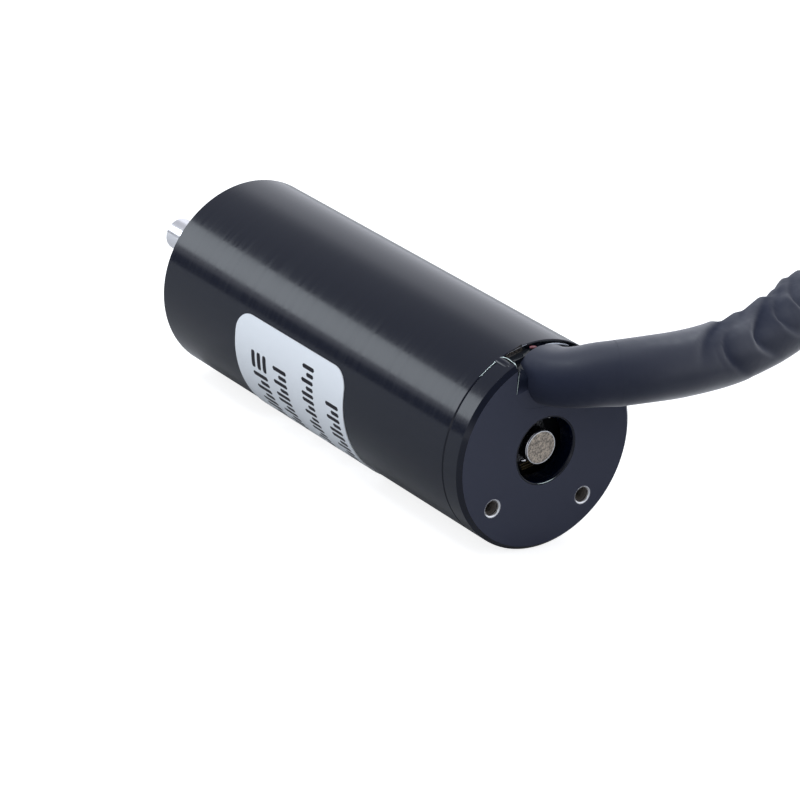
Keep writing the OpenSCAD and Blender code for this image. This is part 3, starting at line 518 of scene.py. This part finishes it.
# A ridge turns into its groove over this far before and past the line
CREASE_HALF = 0.75
# A crease's slope is measured between these angles; the unit is one over that arc in millimetres
SLOPE_ANGLES = (-10, 0, 10)
SLOPE_UNIT = 0.78
FOLD_EASE = 0.7
FOLD_LOWEST = -0.75
FOLD_HIGHEST = 1.15
# How far before and past a crease its painted shade builds up, how it fades, and what depth gives it
# in full
SHADE_BUILDS = (-0.55, 0.4)
SHADE_FADES = 1.3
SHADE_DEPTH = 0.4
# The folded stretch has a little painted shade all over, as lower gloss and sheen: stations and angles
# where that starts and ends
DULL_STARTS = (15, 23)
DULL_ENDS = (34, 60)
DULL_SIDE = (50, 105)
DULL_PAINTED_SHADE = 0.38
# Past the folds the lead swells on its near side, after a dip
CROWN_ANGLE = -45
CROWN_SPREAD = 42
CROWN_HIGH = 0.60
CROWN_STARTS = (31, 40)
CROWN_ENDS = (46, 58)
DIP_DEEP = 0.48
DIP_STATION = 28.9
DIP_LENGTH = 1.9


def crease_at(line, angle):
    """Station of a crease at an angle in degrees."""
    if angle <= line[0][0]:
        return line[0][1]
    for (a, low), (b, high) in zip(line, line[1:]):
        if angle <= b:
            return low + (high - low) * (angle - a) / (b - a)
    return line[-1][1]


def past_crease(line, far, turn):
    """How far a place lies past a crease, square to its line."""
    low, middle, high = (crease_at(line, turn + k) for k in SLOPE_ANGLES)
    lean = math.hypot(1.0, (high - low) * SLOPE_UNIT)
    return (far - (low + middle + high) / 3) / lean


def folds(far, angle):
    """How far the skin stands out or in because of the folds, in millimetres, and how much painted
    shade it gets there, from 0 to 1."""
    turn = (math.degrees(angle) + 180) % 360 - 180
    high = 0.0
    shade = 0.0
    for line, deep, proud, rise, fade, middle, spread in CREASES:
        off = abs(turn - middle) / spread
        if off >= 1:
            continue
        past = past_crease(line, far, turn)
        cut = smooth(-CREASE_HALF, CREASE_HALF, past)
        shape = (proud * math.exp(min(0.0, past) / rise) * (1 - cut)
                 - deep * math.exp(-max(0.0, past) / fade) * cut)
        weight = (0.5 + 0.5 * math.cos(math.pi * off)) ** FOLD_EASE
        high += shape * weight
        # Painted shade in the groove past each crease
        inside = smooth(*SHADE_BUILDS, past) * math.exp(-max(0.0, past) / (SHADE_FADES * fade))
        shade = max(shade, inside * weight * min(1.0, deep / SHADE_DEPTH))
    # Painted shade over the folded stretch, on its near and upper side
    dull = smooth(*DULL_STARTS, far) * (1 - smooth(*DULL_ENDS, far)) * (1 - smooth(*DULL_SIDE, turn))
    shade += (1 - shade) * DULL_PAINTED_SHADE * dull
    crown = math.exp(-((turn - CROWN_ANGLE) / CROWN_SPREAD) ** 2)
    high += CROWN_HIGH * crown * (smooth(*CROWN_STARTS, far) - smooth(*CROWN_ENDS, far))
    high -= DIP_DEEP * crown * math.exp(-((far - DIP_STATION) / DIP_LENGTH) ** 2)
    return max(FOLD_LOWEST, min(FOLD_HIGHEST, high)), shade


# Levels of a direction along Z where the skin's painted shade and painted sheen start and stop to
# change
TOP_LEVELS = (0.9, 0.15)
DOWN_LEVELS = (0.2, 0.9)


def below_top(out):
    """0 where the skin looks up, 1 where it looks to the side or down."""
    return smooth(*TOP_LEVELS, out.z)


def looks_down(out):
    """0 where the skin looks to the side or up, 1 where it looks down."""
    return smooth(*DOWN_LEVELS, -out.z)


# Painted shade on the lead's sides and underside next to the root, fading over this run
ROOT_PAINTED_SHADE = 0.4
ROOT_PAINTED_SHADE_RUN = 6
LUMP_LENGTH = 0.16
LUMP_TURN = 1.6
LUMP_HIGH = 0.07
LUMP_RUN = 4
ROUTE_STEP = 0.2
ROUTE_HANDLE = 4
# Rows of the path that are all kept, because the folds lie there; of the others every second is
FOLD_ROWS = range(61, 275)
# The sleeve's cut end: how far each ring is inset and how far it lies back
END_RINGS = ((0.25, -0.12), (0.55, 0.12), (0.6, 6.0))


def lead_route():
    """The lead's middle line, with rows that are closer where the folds are."""
    path = spline(LEAD_ROUTE, ROOT_HEADING * ROUTE_HANDLE, LEAD_END_WAY * ROUTE_HANDLE,
                  ROUTE_STEP)
    last = len(path) - 1
    return [p for i, p in enumerate(path) if i % 2 == 0 or i in FOLD_ROWS or i == last]


def make_sleeve(path, lines):
    """The skin of the free lead, with its folds and its cut end."""
    shades = []
    undersides = []

    def radius(far, angle, out):
        """Radius of the skin; the painted shade and painted underside sheen there are noted down as
        well.
        """
        high, shade = folds(far, angle)
        root_painted_shade = ROOT_PAINTED_SHADE * (1 - smooth(0, ROOT_PAINTED_SHADE_RUN, far)) * below_top(out)
        shades.append(max(shade, root_painted_shade))
        undersides.append(looks_down(out))
        lump = noise.noise(Vector((far * LUMP_LENGTH, LUMP_TURN * math.cos(angle),
                                   LUMP_TURN * math.sin(angle))))
        return LEAD_R - SKIN_IN + LUMP_HIGH * lump * min(1, far / LUMP_RUN) + high

    points, faces = tube(path, lines, radius, SIDES)
    _, _, up, side = lines[-1]
    for inset, back in END_RINGS:
        middle = path[-1] - back * LEAD_END_WAY
        band(faces, len(points) - SIDES, SIDES)
        for k in range(SIDES):
            angle = 2 * math.pi * k / SIDES
            out = math.cos(angle) * up + math.sin(angle) * side
            points.append(middle + (LEAD_R - inset) * out)
    skin = piece("sleeve", points, faces, "sleeve_black")
    point_values(skin, "painted_fold_shade", shades)
    point_values(skin, "underside", undersides)
    return skin


lead_path = lead_route()
lead_lines = frames(lead_path, ROOT_HEADING, LEAD_END_WAY)
sleeve = make_sleeve(lead_path, lead_lines)
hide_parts("lead_tube")

BEND_STEPS = 20
RUN_STEPS = 8
# Painted shade on the root's sides and underside, strongest at its start, and where its painted
# underside sheen starts
ROOT_START_PAINTED_SHADE = 0.72
ROOT_PAINTED_SHADE_ENDS = (0.2, 1)
ROOT_SHEEN_STARTS = (0.4, 1)
# The glue presses the root flat on top, and the bend draws its underside in
ROOT_FLAT = 0.6
FLAT_POWER = 2.4
FLAT_ENDS = (0.5, 7.5)
DRAWN_IN = 0.34
DRAWN_POWER = 1.4
DRAWN_EASE = 1.2


def make_root():
    """The skin of the first bend, which widens to the free lead's radius."""
    path = [root_point(ROOT_TURN * i / BEND_STEPS) for i in range(BEND_STEPS + 1)]
    path += [path[-1] + ROOT_HEADING * ROOT_RUN * i / RUN_STEPS for i in range(1, RUN_STEPS + 1)]
    lines = frames(path, BACKWARD, ROOT_HEADING)
    length = lines[-1][0]
    shades = []
    undersides = []

    def radius(far, angle, out):
        """Radius of the skin; the painted shade and painted underside sheen there are noted down as
        well.
        """
        part = far / length
        dull = ROOT_START_PAINTED_SHADE - (ROOT_START_PAINTED_SHADE - ROOT_PAINTED_SHADE) * smooth(*ROOT_PAINTED_SHADE_ENDS, part)
        shades.append(dull * below_top(out))
        undersides.append(looks_down(out) * smooth(*ROOT_SHEEN_STARTS, part))
        flat = ROOT_FLAT * max(0.0, out.z) ** FLAT_POWER * (1 - smooth(*FLAT_ENDS, far))
        ease = math.sin(math.pi * min(1.0, part)) ** DRAWN_EASE
        drawn = DRAWN_IN * max(0.0, -out.z) ** DRAWN_POWER * ease
        wider = (LEAD_R - SKIN_IN - ROOT_R) * part * part * (3 - 2 * part)
        return ROOT_R + wider - flat - drawn

    points, faces = tube(path, lines, radius, SIDES)
    skin = piece("sleeve_root", points, faces, "sleeve_black")
    point_values(skin, "painted_fold_shade", shades)
    point_values(skin, "underside", undersides)
    return skin


root_skin = make_root()
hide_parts("lead_root")


# Label
LABEL_X = (-38.0, -16.0)
LABEL_ANGLES = (79.0, 165.0)
LABEL_CORNER = 2.5
LABEL_OUT = BODY_R + 0.1
LABEL_IN = BODY_R - 0.02
LABEL_ROWS = 44
CORNER_STEPS = 12
MIDDLE_STEPS = 16


def label_columns():
    """Places along the label, each with how much its rounded corners cut off there."""
    low, high = LABEL_X
    turns = [math.radians(90 * i / CORNER_STEPS) for i in range(CORNER_STEPS + 1)]
    middle = high - low - 2 * LABEL_CORNER
    columns = [(low + LABEL_CORNER * (1 - math.cos(t)), LABEL_CORNER * (1 - math.sin(t)))
               for t in turns]
    columns += [(low + LABEL_CORNER + middle * i / MIDDLE_STEPS, 0.0)
                for i in range(1, MIDDLE_STEPS)]
    columns += [(high - LABEL_CORNER * (1 - math.cos(t)), LABEL_CORNER * (1 - math.sin(t)))
                for t in reversed(turns)]
    return columns


def label_border(count, wide):
    """Numbers of the points along the label's border, in order."""
    rows = wide - 1
    border = [i * wide for i in range(count)]
    border += [(count - 1) * wide + k for k in range(1, wide)]
    border += [i * wide + rows for i in range(count - 2, -1, -1)]
    border += list(range(rows - 1, 0, -1))
    return border


def make_label():
    """The label as a closed sheet on the tube; its rim has a finish of its own."""
    points = []
    faces = []
    columns = label_columns()
    count = len(columns)
    wide = LABEL_ROWS + 1
    low, high = (math.radians(a) * LABEL_OUT for a in LABEL_ANGLES)
    for r in (LABEL_OUT, LABEL_IN):
        for x, cut in columns:
            for k in range(wide):
                angle = (low + cut + (high - low - 2 * cut) * k / LABEL_ROWS) / LABEL_OUT
                points.append(on_circle(x, r, angle))
    back = wide * count
    for i in range(count - 1):
        for k in range(LABEL_ROWS):
            a = i * wide + k
            faces.append((a, a + 1, a + 1 + wide, a + wide))
            faces.append((back + a, back + a + wide, back + a + 1 + wide, back + a + 1))
    first_rim_face = len(faces)
    border = label_border(count, wide)
    for a, b in zip(border, border[1:] + border[:1]):
        start = len(points)
        points += [points[a], points[b], points[b + back], points[a + back]]
        faces.append(tuple(range(start, start + 4)))
    sheet = piece("label_sheet", points, faces, "label_film")
    sheet.data.materials.append(MATERIALS["label_edge"])
    for polygon in sheet.data.polygons:
        if polygon.index >= first_rim_face:
            polygon.material_index = 1
            polygon.use_smooth = False
    return sheet


label = make_label()
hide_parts("label")


# Print of the label, plain bars and ticks
PRINT_OUT = BODY_R + 0.105
PRINT_CORNER = 1.2
PRINT_STEP = 2
BAR_PLACES = (-19.75, -20.9, -22.05)
BAR_HALF = 0.36
BAR_ANGLES = (97.5, 108)
BAR_CORNER = 0.12
# Rows of ticks, some short: low edge, width, first and last angle, step, tick
TICK_ROWS = (
    (-22.4, 3.0, 110.5, 152, 4.6, 2.8), (-26.6, 2.8, 99.5, 157, 4.1, 2.5),
    (-32.1, 2.4, 87.5, 156, 4.0, 2.4), (-37.1, 2.6, 101, 154, 4.1, 2.5),
)
TICK_CORNER = 0.2
SHORT_TICK = 0.62


def mark(points, faces, x0, x1, a0, a1, corner):
    """A flat mark on the tube from x0 to x1 and from angle a0 to a1, with its corners cut."""
    columns = [x0, x0 + corner, x1 - corner, x1]
    steps = max(2, round((a1 - a0) / PRINT_STEP))
    start = len(points)
    for i in range(steps + 1):
        angle = a0 + (a1 - a0) * (i / steps)
        cut = {0: PRINT_CORNER, steps: -PRINT_CORNER}.get(i, 0.0)
        for x, ease in zip(columns, (cut, 0.0, 0.0, cut)):
            points.append(on_circle(x, PRINT_OUT, math.radians(angle + ease)))
    for i in range(steps):
        for n in range(3):
            a = start + i * 4 + n
            faces.append((a, a + 1, a + 5, a + 4))


def make_print():
    """The label's print."""
    points = []
    faces = []
    for x in BAR_PLACES:
        mark(points, faces, x - BAR_HALF, x + BAR_HALF, *BAR_ANGLES, BAR_CORNER)
    for x, wide, first, last, step, tick in TICK_ROWS:
        angle = first
        count = 0
        while angle < last:
            part = SHORT_TICK if count % 5 in (1, 3) else 1.0
            mark(points, faces, x, x + wide * part, angle, angle + tick, TICK_CORNER)
            angle += step
            count += 1
    piece("label_print", points, faces, "print_black")


make_print()


# Holes, threads and the shaft's end; rows are how far in from the face, and the radius
COUNTERSINK = ((0.02, COUNTERSINK_R + 0.02), (-0.012, COUNTERSINK_R), (0.10, 0.98), (0.14, 0.92))
HOLE_WALL = ((0.138, 0.922), (0.2, 0.86), (0.4, REAR_TAP_R - 0.02), (1.6, REAR_TAP_R - 0.02))
CAP_HOLE_EDGE = ((0.02, 4.13), (-0.004, 4.06), (0.02, 3.98), (0.16, 3.88), (0.5, 3.86), (2.4, 3.86))
SHAFT_FACE = ((-0.012, SHAFT_R - 0.12), (-0.03, 1.2), (-0.02, 0.4), (-0.012, 0.02))
SHAFT_EDGE = ((0.1, SHAFT_R + 0.006), (0.0, SHAFT_R + 0.002), (-0.03, SHAFT_R - 0.06),
              (-0.012, SHAFT_R - 0.13))
AXIS = [(0, 0)]
THREAD_STEPS = 28
THREAD_RIDGE = 0.1
THREAD_FOOT = 0.4
REAR_THREAD_START = 0.5
HOLE_GLINT_R = 3.985
HOLE_GLINT_HALF = 0.055
HOLE_GLINT_START = 172
HOLE_GLINT_TURN = 38
HOLE_GLINT_STEPS = 24


def inward(face, rows):
    """Rows of a turned surface, counted from a face of the motor."""
    return [(face + deep, r) for deep, r in rows]


def threads(name, centres, x_open, x_deep, bore_r, pitch, material):
    """The crests of tapped threads, each as one ridge that winds down its bore."""
    points = []
    faces = []
    turns = (abs(x_deep - x_open) - pitch) / pitch
    count = int(turns * THREAD_STEPS)
    way = 1 if x_deep > x_open else -1
    profile = ((-THREAD_FOOT, bore_r + 0.01), (0, bore_r - THREAD_RIDGE), (THREAD_FOOT, bore_r + 0.01))
    for centre in centres:
        start = len(points)
        for i in range(count + 1):
            a = 2 * math.pi * i / THREAD_STEPS
            x = x_open + way * (0.5 * pitch + pitch * i / THREAD_STEPS)
            for shift, r in profile:
                points.append((x + shift * pitch, centre[0] + r * math.sin(a),
                               centre[1] + r * math.cos(a)))
        for i in range(count):
            for n in range(2):
                a = start + 3 * i + n
                faces.append((a, a + 1, a + 4, a + 3))
    piece(name, points, faces, material)


def front_hole(number):
    """Centre (y, z) of a front hole."""
    angle = math.radians(45 + 90 * number)
    return (FRONT_PCD_R * math.sin(angle), FRONT_PCD_R * math.cos(angle))


def cap_hole_glint():
    """A painted highlight: a bright band on the lower edge of the cap's centre hole."""
    points = []
    faces = []
    for i in range(HOLE_GLINT_STEPS + 1):
        part = i / HOLE_GLINT_STEPS
        angle = math.radians(HOLE_GLINT_START + HOLE_GLINT_TURN * i / HOLE_GLINT_STEPS)
        half = HOLE_GLINT_HALF * math.sin(math.pi * part)
        for r, deep in ((HOLE_GLINT_R + half, 0.004), (HOLE_GLINT_R, -0.012),
                        (HOLE_GLINT_R - half, 0.012)):
            points.append(on_circle(CAP_BACK + deep, r, angle))
    for i in range(HOLE_GLINT_STEPS):
        for k in range(2):
            a = 3 * i + k
            faces.append((a, a + 1, a + 4, a + 3))
    piece("cap_hole_glint", points, faces, "edge_glint")


turned("rear_countersinks", REAR_HOLES, inward(CAP_BACK, COUNTERSINK), "cut_metal")
turned("rear_hole_walls", REAR_HOLES, inward(CAP_BACK, HOLE_WALL), "hole_shade")
threads("rear_threads", REAR_HOLES, CAP_BACK + REAR_THREAD_START, CAP_BACK + TAP_DEPTH,
        REAR_TAP_R, REAR_PITCH, "hole_shade")
threads("front_threads", [front_hole(number) for number in range(4)], 0, -TAP_DEPTH,
        FRONT_TAP_R, FRONT_PITCH, "cut_metal")
turned("shaft_rear_face", AXIS, inward(SHAFT_BACK, SHAFT_FACE), "shaft_face", body="rotor")
turned("shaft_rear_edge", AXIS, inward(SHAFT_BACK, SHAFT_EDGE), "cut_metal", body="rotor")
turned("cap_hole_edge", AXIS, inward(CAP_BACK, CAP_HOLE_EDGE), "cap_black", sides=96)
cap_hole_glint()


# Glue round the sleeve
GLUE_LOW = 5.2
GLUE_SIDE = 8.4
GLUE_LOW_SIDE = 6.2
GLUE_SIDE_STEP = 9.6
GLUE_OUT = 11.9
GLUE_ROWS = 22
GLUE_ANGLES = 120
GLUE_LEVEL = -58.2
GLUE_CLIMB = 0.75
GLUE_CLIMB_RUN = 0.35
# Lumps of the glue: height, how close together they are, and which part of the noise they take
GLUE_LUMPS = ((0.16, 0.9, 3), (0.07, 2.6, 7))
# The glue ends at the tube's end on one side and at the cap's face on the other
TUBE_END = -57.02
GLUE_EDGE = (10.4, 11.5)
CAP_LEVEL = -59.97
CAP_LEVEL_ENDS = (8.9, 9.9)
GLUE_UNDER_SKIN = 0.3
REACH_START = 2.4
REACH_END = 12
REACH_STEP = 0.02
# Facets between these angles have the face's finish; of the rest, those further back get the painted
# shade of the slot's gap
FACE_ANGLES = (110, 250)
PAINTED_SHADE_FROM_X = -58.9


def glue_x(y, z, away):
    """Level of the glue: it climbs the sleeve, dips, and runs up to the tube's end."""
    lumps = 0.0
    for high, close, layer in GLUE_LUMPS:
        lumps += high * noise.noise(Vector((y * close, z * close, layer)))
    level = GLUE_LEVEL - GLUE_CLIMB * math.exp(-away / GLUE_CLIMB_RUN) + lumps
    level += (TUBE_END - level) * smooth(*GLUE_EDGE, math.hypot(y, z))
    return level + (CAP_LEVEL - level) * (1 - smooth(*CAP_LEVEL_ENDS, z))


def glue_place(far, angle):
    """Place (y, z) at a distance from the sleeve's middle."""
    return ROOT_START.y + far * math.sin(angle), ROOT_START.z + far * math.cos(angle)


def glue_reach(angle):
    """Distance from the sleeve's middle to where the glue ends, in one direction."""
    far = REACH_START
    while far < REACH_END:
        y, z = glue_place(far, angle)
        side = GLUE_LOW_SIDE if z < GLUE_SIDE_STEP else GLUE_SIDE
        if z < GLUE_LOW or abs(y) > side or math.hypot(y, z) > GLUE_OUT:
            break
        far += REACH_STEP
    return far


def glue_surface():
    """The glue's free surface, from under the sleeve's skin to the slot's walls."""
    points = []
    faces = []
    for i in range(GLUE_ANGLES):
        angle = 2 * math.pi * i / GLUE_ANGLES
        skin = ROOT_R - ROOT_FLAT * max(0.0, math.cos(angle)) ** FLAT_POWER
        inner = skin - GLUE_UNDER_SKIN
        outer = max(inner + 0.1, glue_reach(angle))
        for k in range(GLUE_ROWS):
            far = inner + (outer - inner) * (k / (GLUE_ROWS - 1))
            y, z = glue_place(far, angle)
            points.append((glue_x(y, z, max(0.0, far - skin)), y, z))
    for i in range(GLUE_ANGLES):
        n = (i + 1) % GLUE_ANGLES
        for k in range(GLUE_ROWS - 1):
            a = i * GLUE_ROWS + k
            b = n * GLUE_ROWS + k
            faces.append((a, b, b + 1, a + 1))
    glue = piece("glue_surface", points, faces, "glue_clear")
    glue.data.materials.append(MATERIALS["cap_face"])
    glue.data.materials.append(MATERIALS["glue_painted_shade"])
    for polygon in glue.data.polygons:
        facet_angle = 360 * (polygon.index // (GLUE_ROWS - 1)) / GLUE_ANGLES
        if FACE_ANGLES[0] < facet_angle < FACE_ANGLES[1]:
            polygon.material_index = 1
        # Painted shade in the slot's gap
        elif polygon.center.x < PAINTED_SHADE_FROM_X * MM:
            polygon.material_index = 2


GLUE_DROPS = (
    ((-59.1, 5.1, 9.85), (0.2, 0.16, 0.2)), ((-59.2, 4.95, 9.5), (0.18, 0.14, 0.16)),
    ((-58.9, 5.5, 10.2), (0.22, 0.3, 0.2)), ((-59.3, 4.98, 8.9), (0.12, 0.1, 0.3)),
)
CORNER_RUN = 2.5
CORNER_YZ = (5.98, 9.92)
CORNER_R = 0.66
CORNER_ROWS = 14
CORNER_ROUND = 0.02


def glue_corner():
    """A rounded bead in the slot's corner, full at the tube's end and thin at the cap's face."""
    path = [Vector((TUBE_END - CORNER_RUN * i / CORNER_ROWS, *CORNER_YZ))
            for i in range(CORNER_ROWS + 1)]
    reach = CORNER_RUN + CORNER_ROUND
    points, faces = tube(path, frames(path), lambda far, angle, out: CORNER_ROUND + CORNER_R
                         * math.sqrt(max(0.0, 1 - (far / reach) ** 2)), 32)
    piece("glue_corner", points, faces, "cap_black")


GLUE_GLINT = [Vector(p) for p in (
    (-57.03, 8.50, 8.55), (-57.03, 7.50, 9.40), (-57.03, 6.72, 9.98), (-57.05, 6.1, 10.5),
    (-57.3, 5.75, 10.62), (-57.8, 5.55, 10.62), (-58.4, 5.45, 10.5), (-59.0, 5.35, 10.35),
    (-59.3, 5.4, 10.0))]
# Painted highlights as arcs about the motor's axis: name, first and last angle, place along X, radius,
# thickness
ARC_GLINTS = (("tube_edge_glint", 12, 25, TUBE_END, 11.97, 0.03),
              ("glue_edge_glint", -16, 2, -57.5, 11.62, 0.12))
ARC_STEPS = 16
WALL_HIGH = 2.7
WALL_STEPS = 10


def make_glints():
    """Painted highlights, as fine bright beads in the slot: along the glue, the tube's end and the
    slot's wall; the pale one on the glue is a painted reflection.
    """
    path = spline(GLUE_GLINT, Vector((0, 0.5, -0.5)), Vector((-0.2, 0, -0.3)), 0.12)
    length = sum((b - a).length for a, b in zip(path, path[1:]))
    glint("glue_glint", path, length, 0.052, "edge_glint")
    for name, low, high, x, r, thick in ARC_GLINTS:
        arc = [Vector(on_circle(x, r, math.radians(low + (high - low) * i / ARC_STEPS)))
               for i in range(ARC_STEPS + 1)]
        glint(name, arc, (arc[-1] - arc[0]).length, thick, "painted_soft_glint")
    wall = [Vector((CAP_BACK, 5.5 - 0.1 * i / WALL_STEPS, 9.9 - WALL_HIGH * i / WALL_STEPS))
            for i in range(WALL_STEPS + 1)]
    glint("slot_glint", wall, WALL_HIGH, 0.03, "edge_glint", sides=8)


DUST_FROM = (4.95, 10.05)
DUST_RUN = (-1.9, 1.0)
DUST_STEPS = 14
DUST_WIDE = 8
DUST_LOW = 0.93
DUST_SPREAD = 0.02


def glue_dust():
    """A dusty patch that lies on the glue."""
    points = []
    faces = []
    for i in range(DUST_STEPS + 1):
        part = i / DUST_STEPS
        for k in range(DUST_WIDE):
            out = DUST_LOW + DUST_SPREAD * k
            y = (DUST_FROM[0] + DUST_RUN[0] * part) * out
            z = (DUST_FROM[1] + DUST_RUN[1] * part) * out
            points.append((glue_x(y, z, 3.0) - 0.03, y, z))
    for i in range(DUST_STEPS):
        for k in range(DUST_WIDE - 1):
            a = i * DUST_WIDE + k
            faces.append((a, a + 1, a + DUST_WIDE + 1, a + DUST_WIDE))
    piece("glue_dust", points, faces, "glue_dusty")


glue_surface()
drops("glue_drops", GLUE_DROPS, "glue_clear")
glue_corner()
make_glints()
glue_dust()


# Small things that show: the board's traces, with their ends as (y, z), and its solder in the
# centre hole, and a glimpse of a wire in the slot
TRACES = (((-0.4, -3.84), (-2.35, -3.36)), ((-0.6, -4.1), (-2.3, -3.72)),
          ((-0.2, -3.5), (-2.2, -3.02)))
TRACE_HALF = 0.07
TRACE_FRONT = -0.09
TRACE_BACK = 0.01
BOARD_SOLDER = (((BOARD_BACK - 0.1, -3.3, 2.07), (0.3, 0.35, 0.16)),
                ((BOARD_BACK - 0.1, -0.6, -2.85), (0.3, 0.6, 0.3)))
WIRE_GLIMPSE = [((-57.5, 1.95, 11.5), (0.3, 0.5, 0.16))]


def board_traces():
    """Straight gold traces as thin plates on the board."""
    points = []
    faces = []
    for (y0, z0), (y1, z1) in TRACES:
        across = Vector((0, z0 - z1, y1 - y0)).normalized() * TRACE_HALF
        a = len(points)
        for deep in (TRACE_FRONT, TRACE_BACK):
            for y, z, way in ((y0, z0, 1), (y1, z1, 1), (y1, z1, -1), (y0, z0, -1)):
                points.append((BOARD_BACK + deep, y + way * across.y, z + way * across.z))
        faces += [(a, a + 1, a + 2, a + 3), (a + 4, a + 7, a + 6, a + 5)]
        faces += [(a + k, a + 4 + k, a + 4 + (k + 1) % 4, a + (k + 1) % 4) for k in range(4)]
    piece("board_traces", points, faces, "contact_gold", smooth=False)


board_traces()
drops("board_solder", BOARD_SOLDER, "solder_tin")
drops("wire_glimpse", WIRE_GLIMPSE, "wire_glimpse")


# Floor, in metres
FLOOR_Z = -0.01201
FLOOR_R = 0.42
FLOOR_GLOW = 0.82


def floor_finish():
    """Grey to the light that falls on it, and near white to the camera."""
    paint = node_material("floor_paint", (0.45, 0.45, 0.45), 0, 0.6, 0.05, 40, 0.0)
    tree = paint.node_tree
    shader = tree.nodes["Principled BSDF"]
    shader.inputs["Emission Color"].default_value = (1, 1, 1, 1)
    seen = tree.nodes.new("ShaderNodeLightPath").outputs["Is Camera Ray"]
    glow = tree.nodes.new("ShaderNodeMath")
    glow.operation = "MULTIPLY"
    glow.inputs[1].default_value = FLOOR_GLOW
    tree.links.new(seen, glow.inputs[0])
    tree.links.new(glow.outputs[0], shader.inputs["Emission Strength"])
    return paint


def make_floor():
    """A round floor, with its edge out of the camera's sight."""
    rim = [(FLOOR_R * math.cos(math.radians(a)), FLOOR_R * math.sin(math.radians(a)), FLOOR_Z)
           for a in range(0, 360, 6)]
    mesh = bpy.data.meshes.new("floor")
    mesh.from_pydata(rim, [], [tuple(range(len(rim)))])
    mesh.materials.append(floor_finish())
    obj = bpy.data.objects.new("floor", mesh)
    scene.collection.objects.link(obj)
    return obj


floor = make_floor()


# Room and lamps, in metres
STUDIO_WHITE = (1.0, 1.03, 1.12, 1)
LAMP_WHITE = (0.92, 1.0, 1.06)
LAMP_AIM = Vector((-0.03, 0, 0))
# Dim parts of the room: direction, cosines where the dimming starts and is full, and its level
CEILING = ((0.74, 0.12, 0.66), 0.84, 0.975, 0.55)
NEAR_SIDE = ((-0.64, 0.42, 0.65), 0.72, 0.93, 0.25)
STRIP_SIDE = ((0.77, 0.63, 0), 0.75, 0.88, 0.25)
STRIP_EDGE = 0.13
STRIP_CORE = 0.09


def smooth_range(tree, value, start, end, low, high):
    """A number that goes smoothly from low to high as the value goes from start to end."""
    node = tree.nodes.new("ShaderNodeMapRange")
    node.interpolation_type = "SMOOTHSTEP"
    node.inputs["From Min"].default_value = start
    node.inputs["From Max"].default_value = end
    node.inputs["To Min"].default_value = low
    node.inputs["To Max"].default_value = high
    tree.links.new(value, node.inputs["Value"])
    return node.outputs["Result"]


def lobe(tree, sky_way, towards, edge, core, low):
    """Strength of the room: low in one direction, 1 away from it."""
    dot = tree.nodes.new("ShaderNodeVectorMath")
    dot.operation = "DOT_PRODUCT"
    tree.links.new(sky_way, dot.inputs[0])
    dot.inputs[1].default_value = Vector(towards).normalized()
    return smooth_range(tree, dot.outputs["Value"], edge, core, 1.0, low)


def combine(tree, operation, a, b):
    """The result of a calculation with two numbers, each a socket or a plain one."""
    node = tree.nodes.new("ShaderNodeMath")
    node.operation = operation
    for socket, value in zip(node.inputs, (a, b)):
        if isinstance(value, float):
            socket.default_value = value
        else:
            tree.links.new(value, socket)
    return node.outputs[0]


def make_room():
    """A white room with a dimmer ceiling and near side, and a low dark strip past the softbox."""
    world = bpy.data.worlds.new("studio")
    scene.world = world
    world.use_nodes = True
    tree = world.node_tree
    backdrop = tree.nodes["Background"]
    backdrop.inputs["Color"].default_value = STUDIO_WHITE
    sky_way = tree.nodes.new("ShaderNodeTexCoord").outputs["Generated"]
    height = tree.nodes.new("ShaderNodeSeparateXYZ")
    tree.links.new(sky_way, height.inputs[0])
    level = combine(tree, "ABSOLUTE", height.outputs["Z"], 0.0)
    low_band = smooth_range(tree, level, STRIP_EDGE, STRIP_CORE, 0.0, 1.0)
    side = combine(tree, "SUBTRACT", 1.0, lobe(tree, sky_way, *STRIP_SIDE))
    strip = combine(tree, "SUBTRACT", 1.0, combine(tree, "MULTIPLY", low_band, side))
    dimmed = combine(tree, "MULTIPLY", lobe(tree, sky_way, *CEILING), lobe(tree, sky_way, *NEAR_SIDE))
    strength = combine(tree, "MULTIPLY", dimmed, strip)
    tree.links.new(strength, backdrop.inputs["Strength"])


def softbox(name, towards, distance, width, height, radiance):
    """A rectangular lamp that faces the part."""
    lamp = bpy.data.lights.new(name, "AREA")
    lamp.color = LAMP_WHITE
    lamp.shape = "RECTANGLE"
    lamp.size = width
    lamp.size_y = height
    lamp.energy = radiance * math.pi * width * height
    obj = bpy.data.objects.new(name, lamp)
    way = Vector(towards).normalized()
    obj.location = way * distance + LAMP_AIM
    obj.rotation_euler = way.to_track_quat("Z", "Y").to_euler()
    scene.collection.objects.link(obj)


make_room()
# Each lamp: name, direction, distance, width, height, radiance
softbox("far_softbox", (0.751, 0.566, 0.339), 0.8, 1.0, 0.243, 3.0)
softbox("key_lamp", (0.05, 0.47, 0.87), 0.6, 0.14, 0.14, 14.0)
softbox("top_lamp", (0.23, -0.57, 0.78), 0.6, 0.14, 0.14, 5.0)
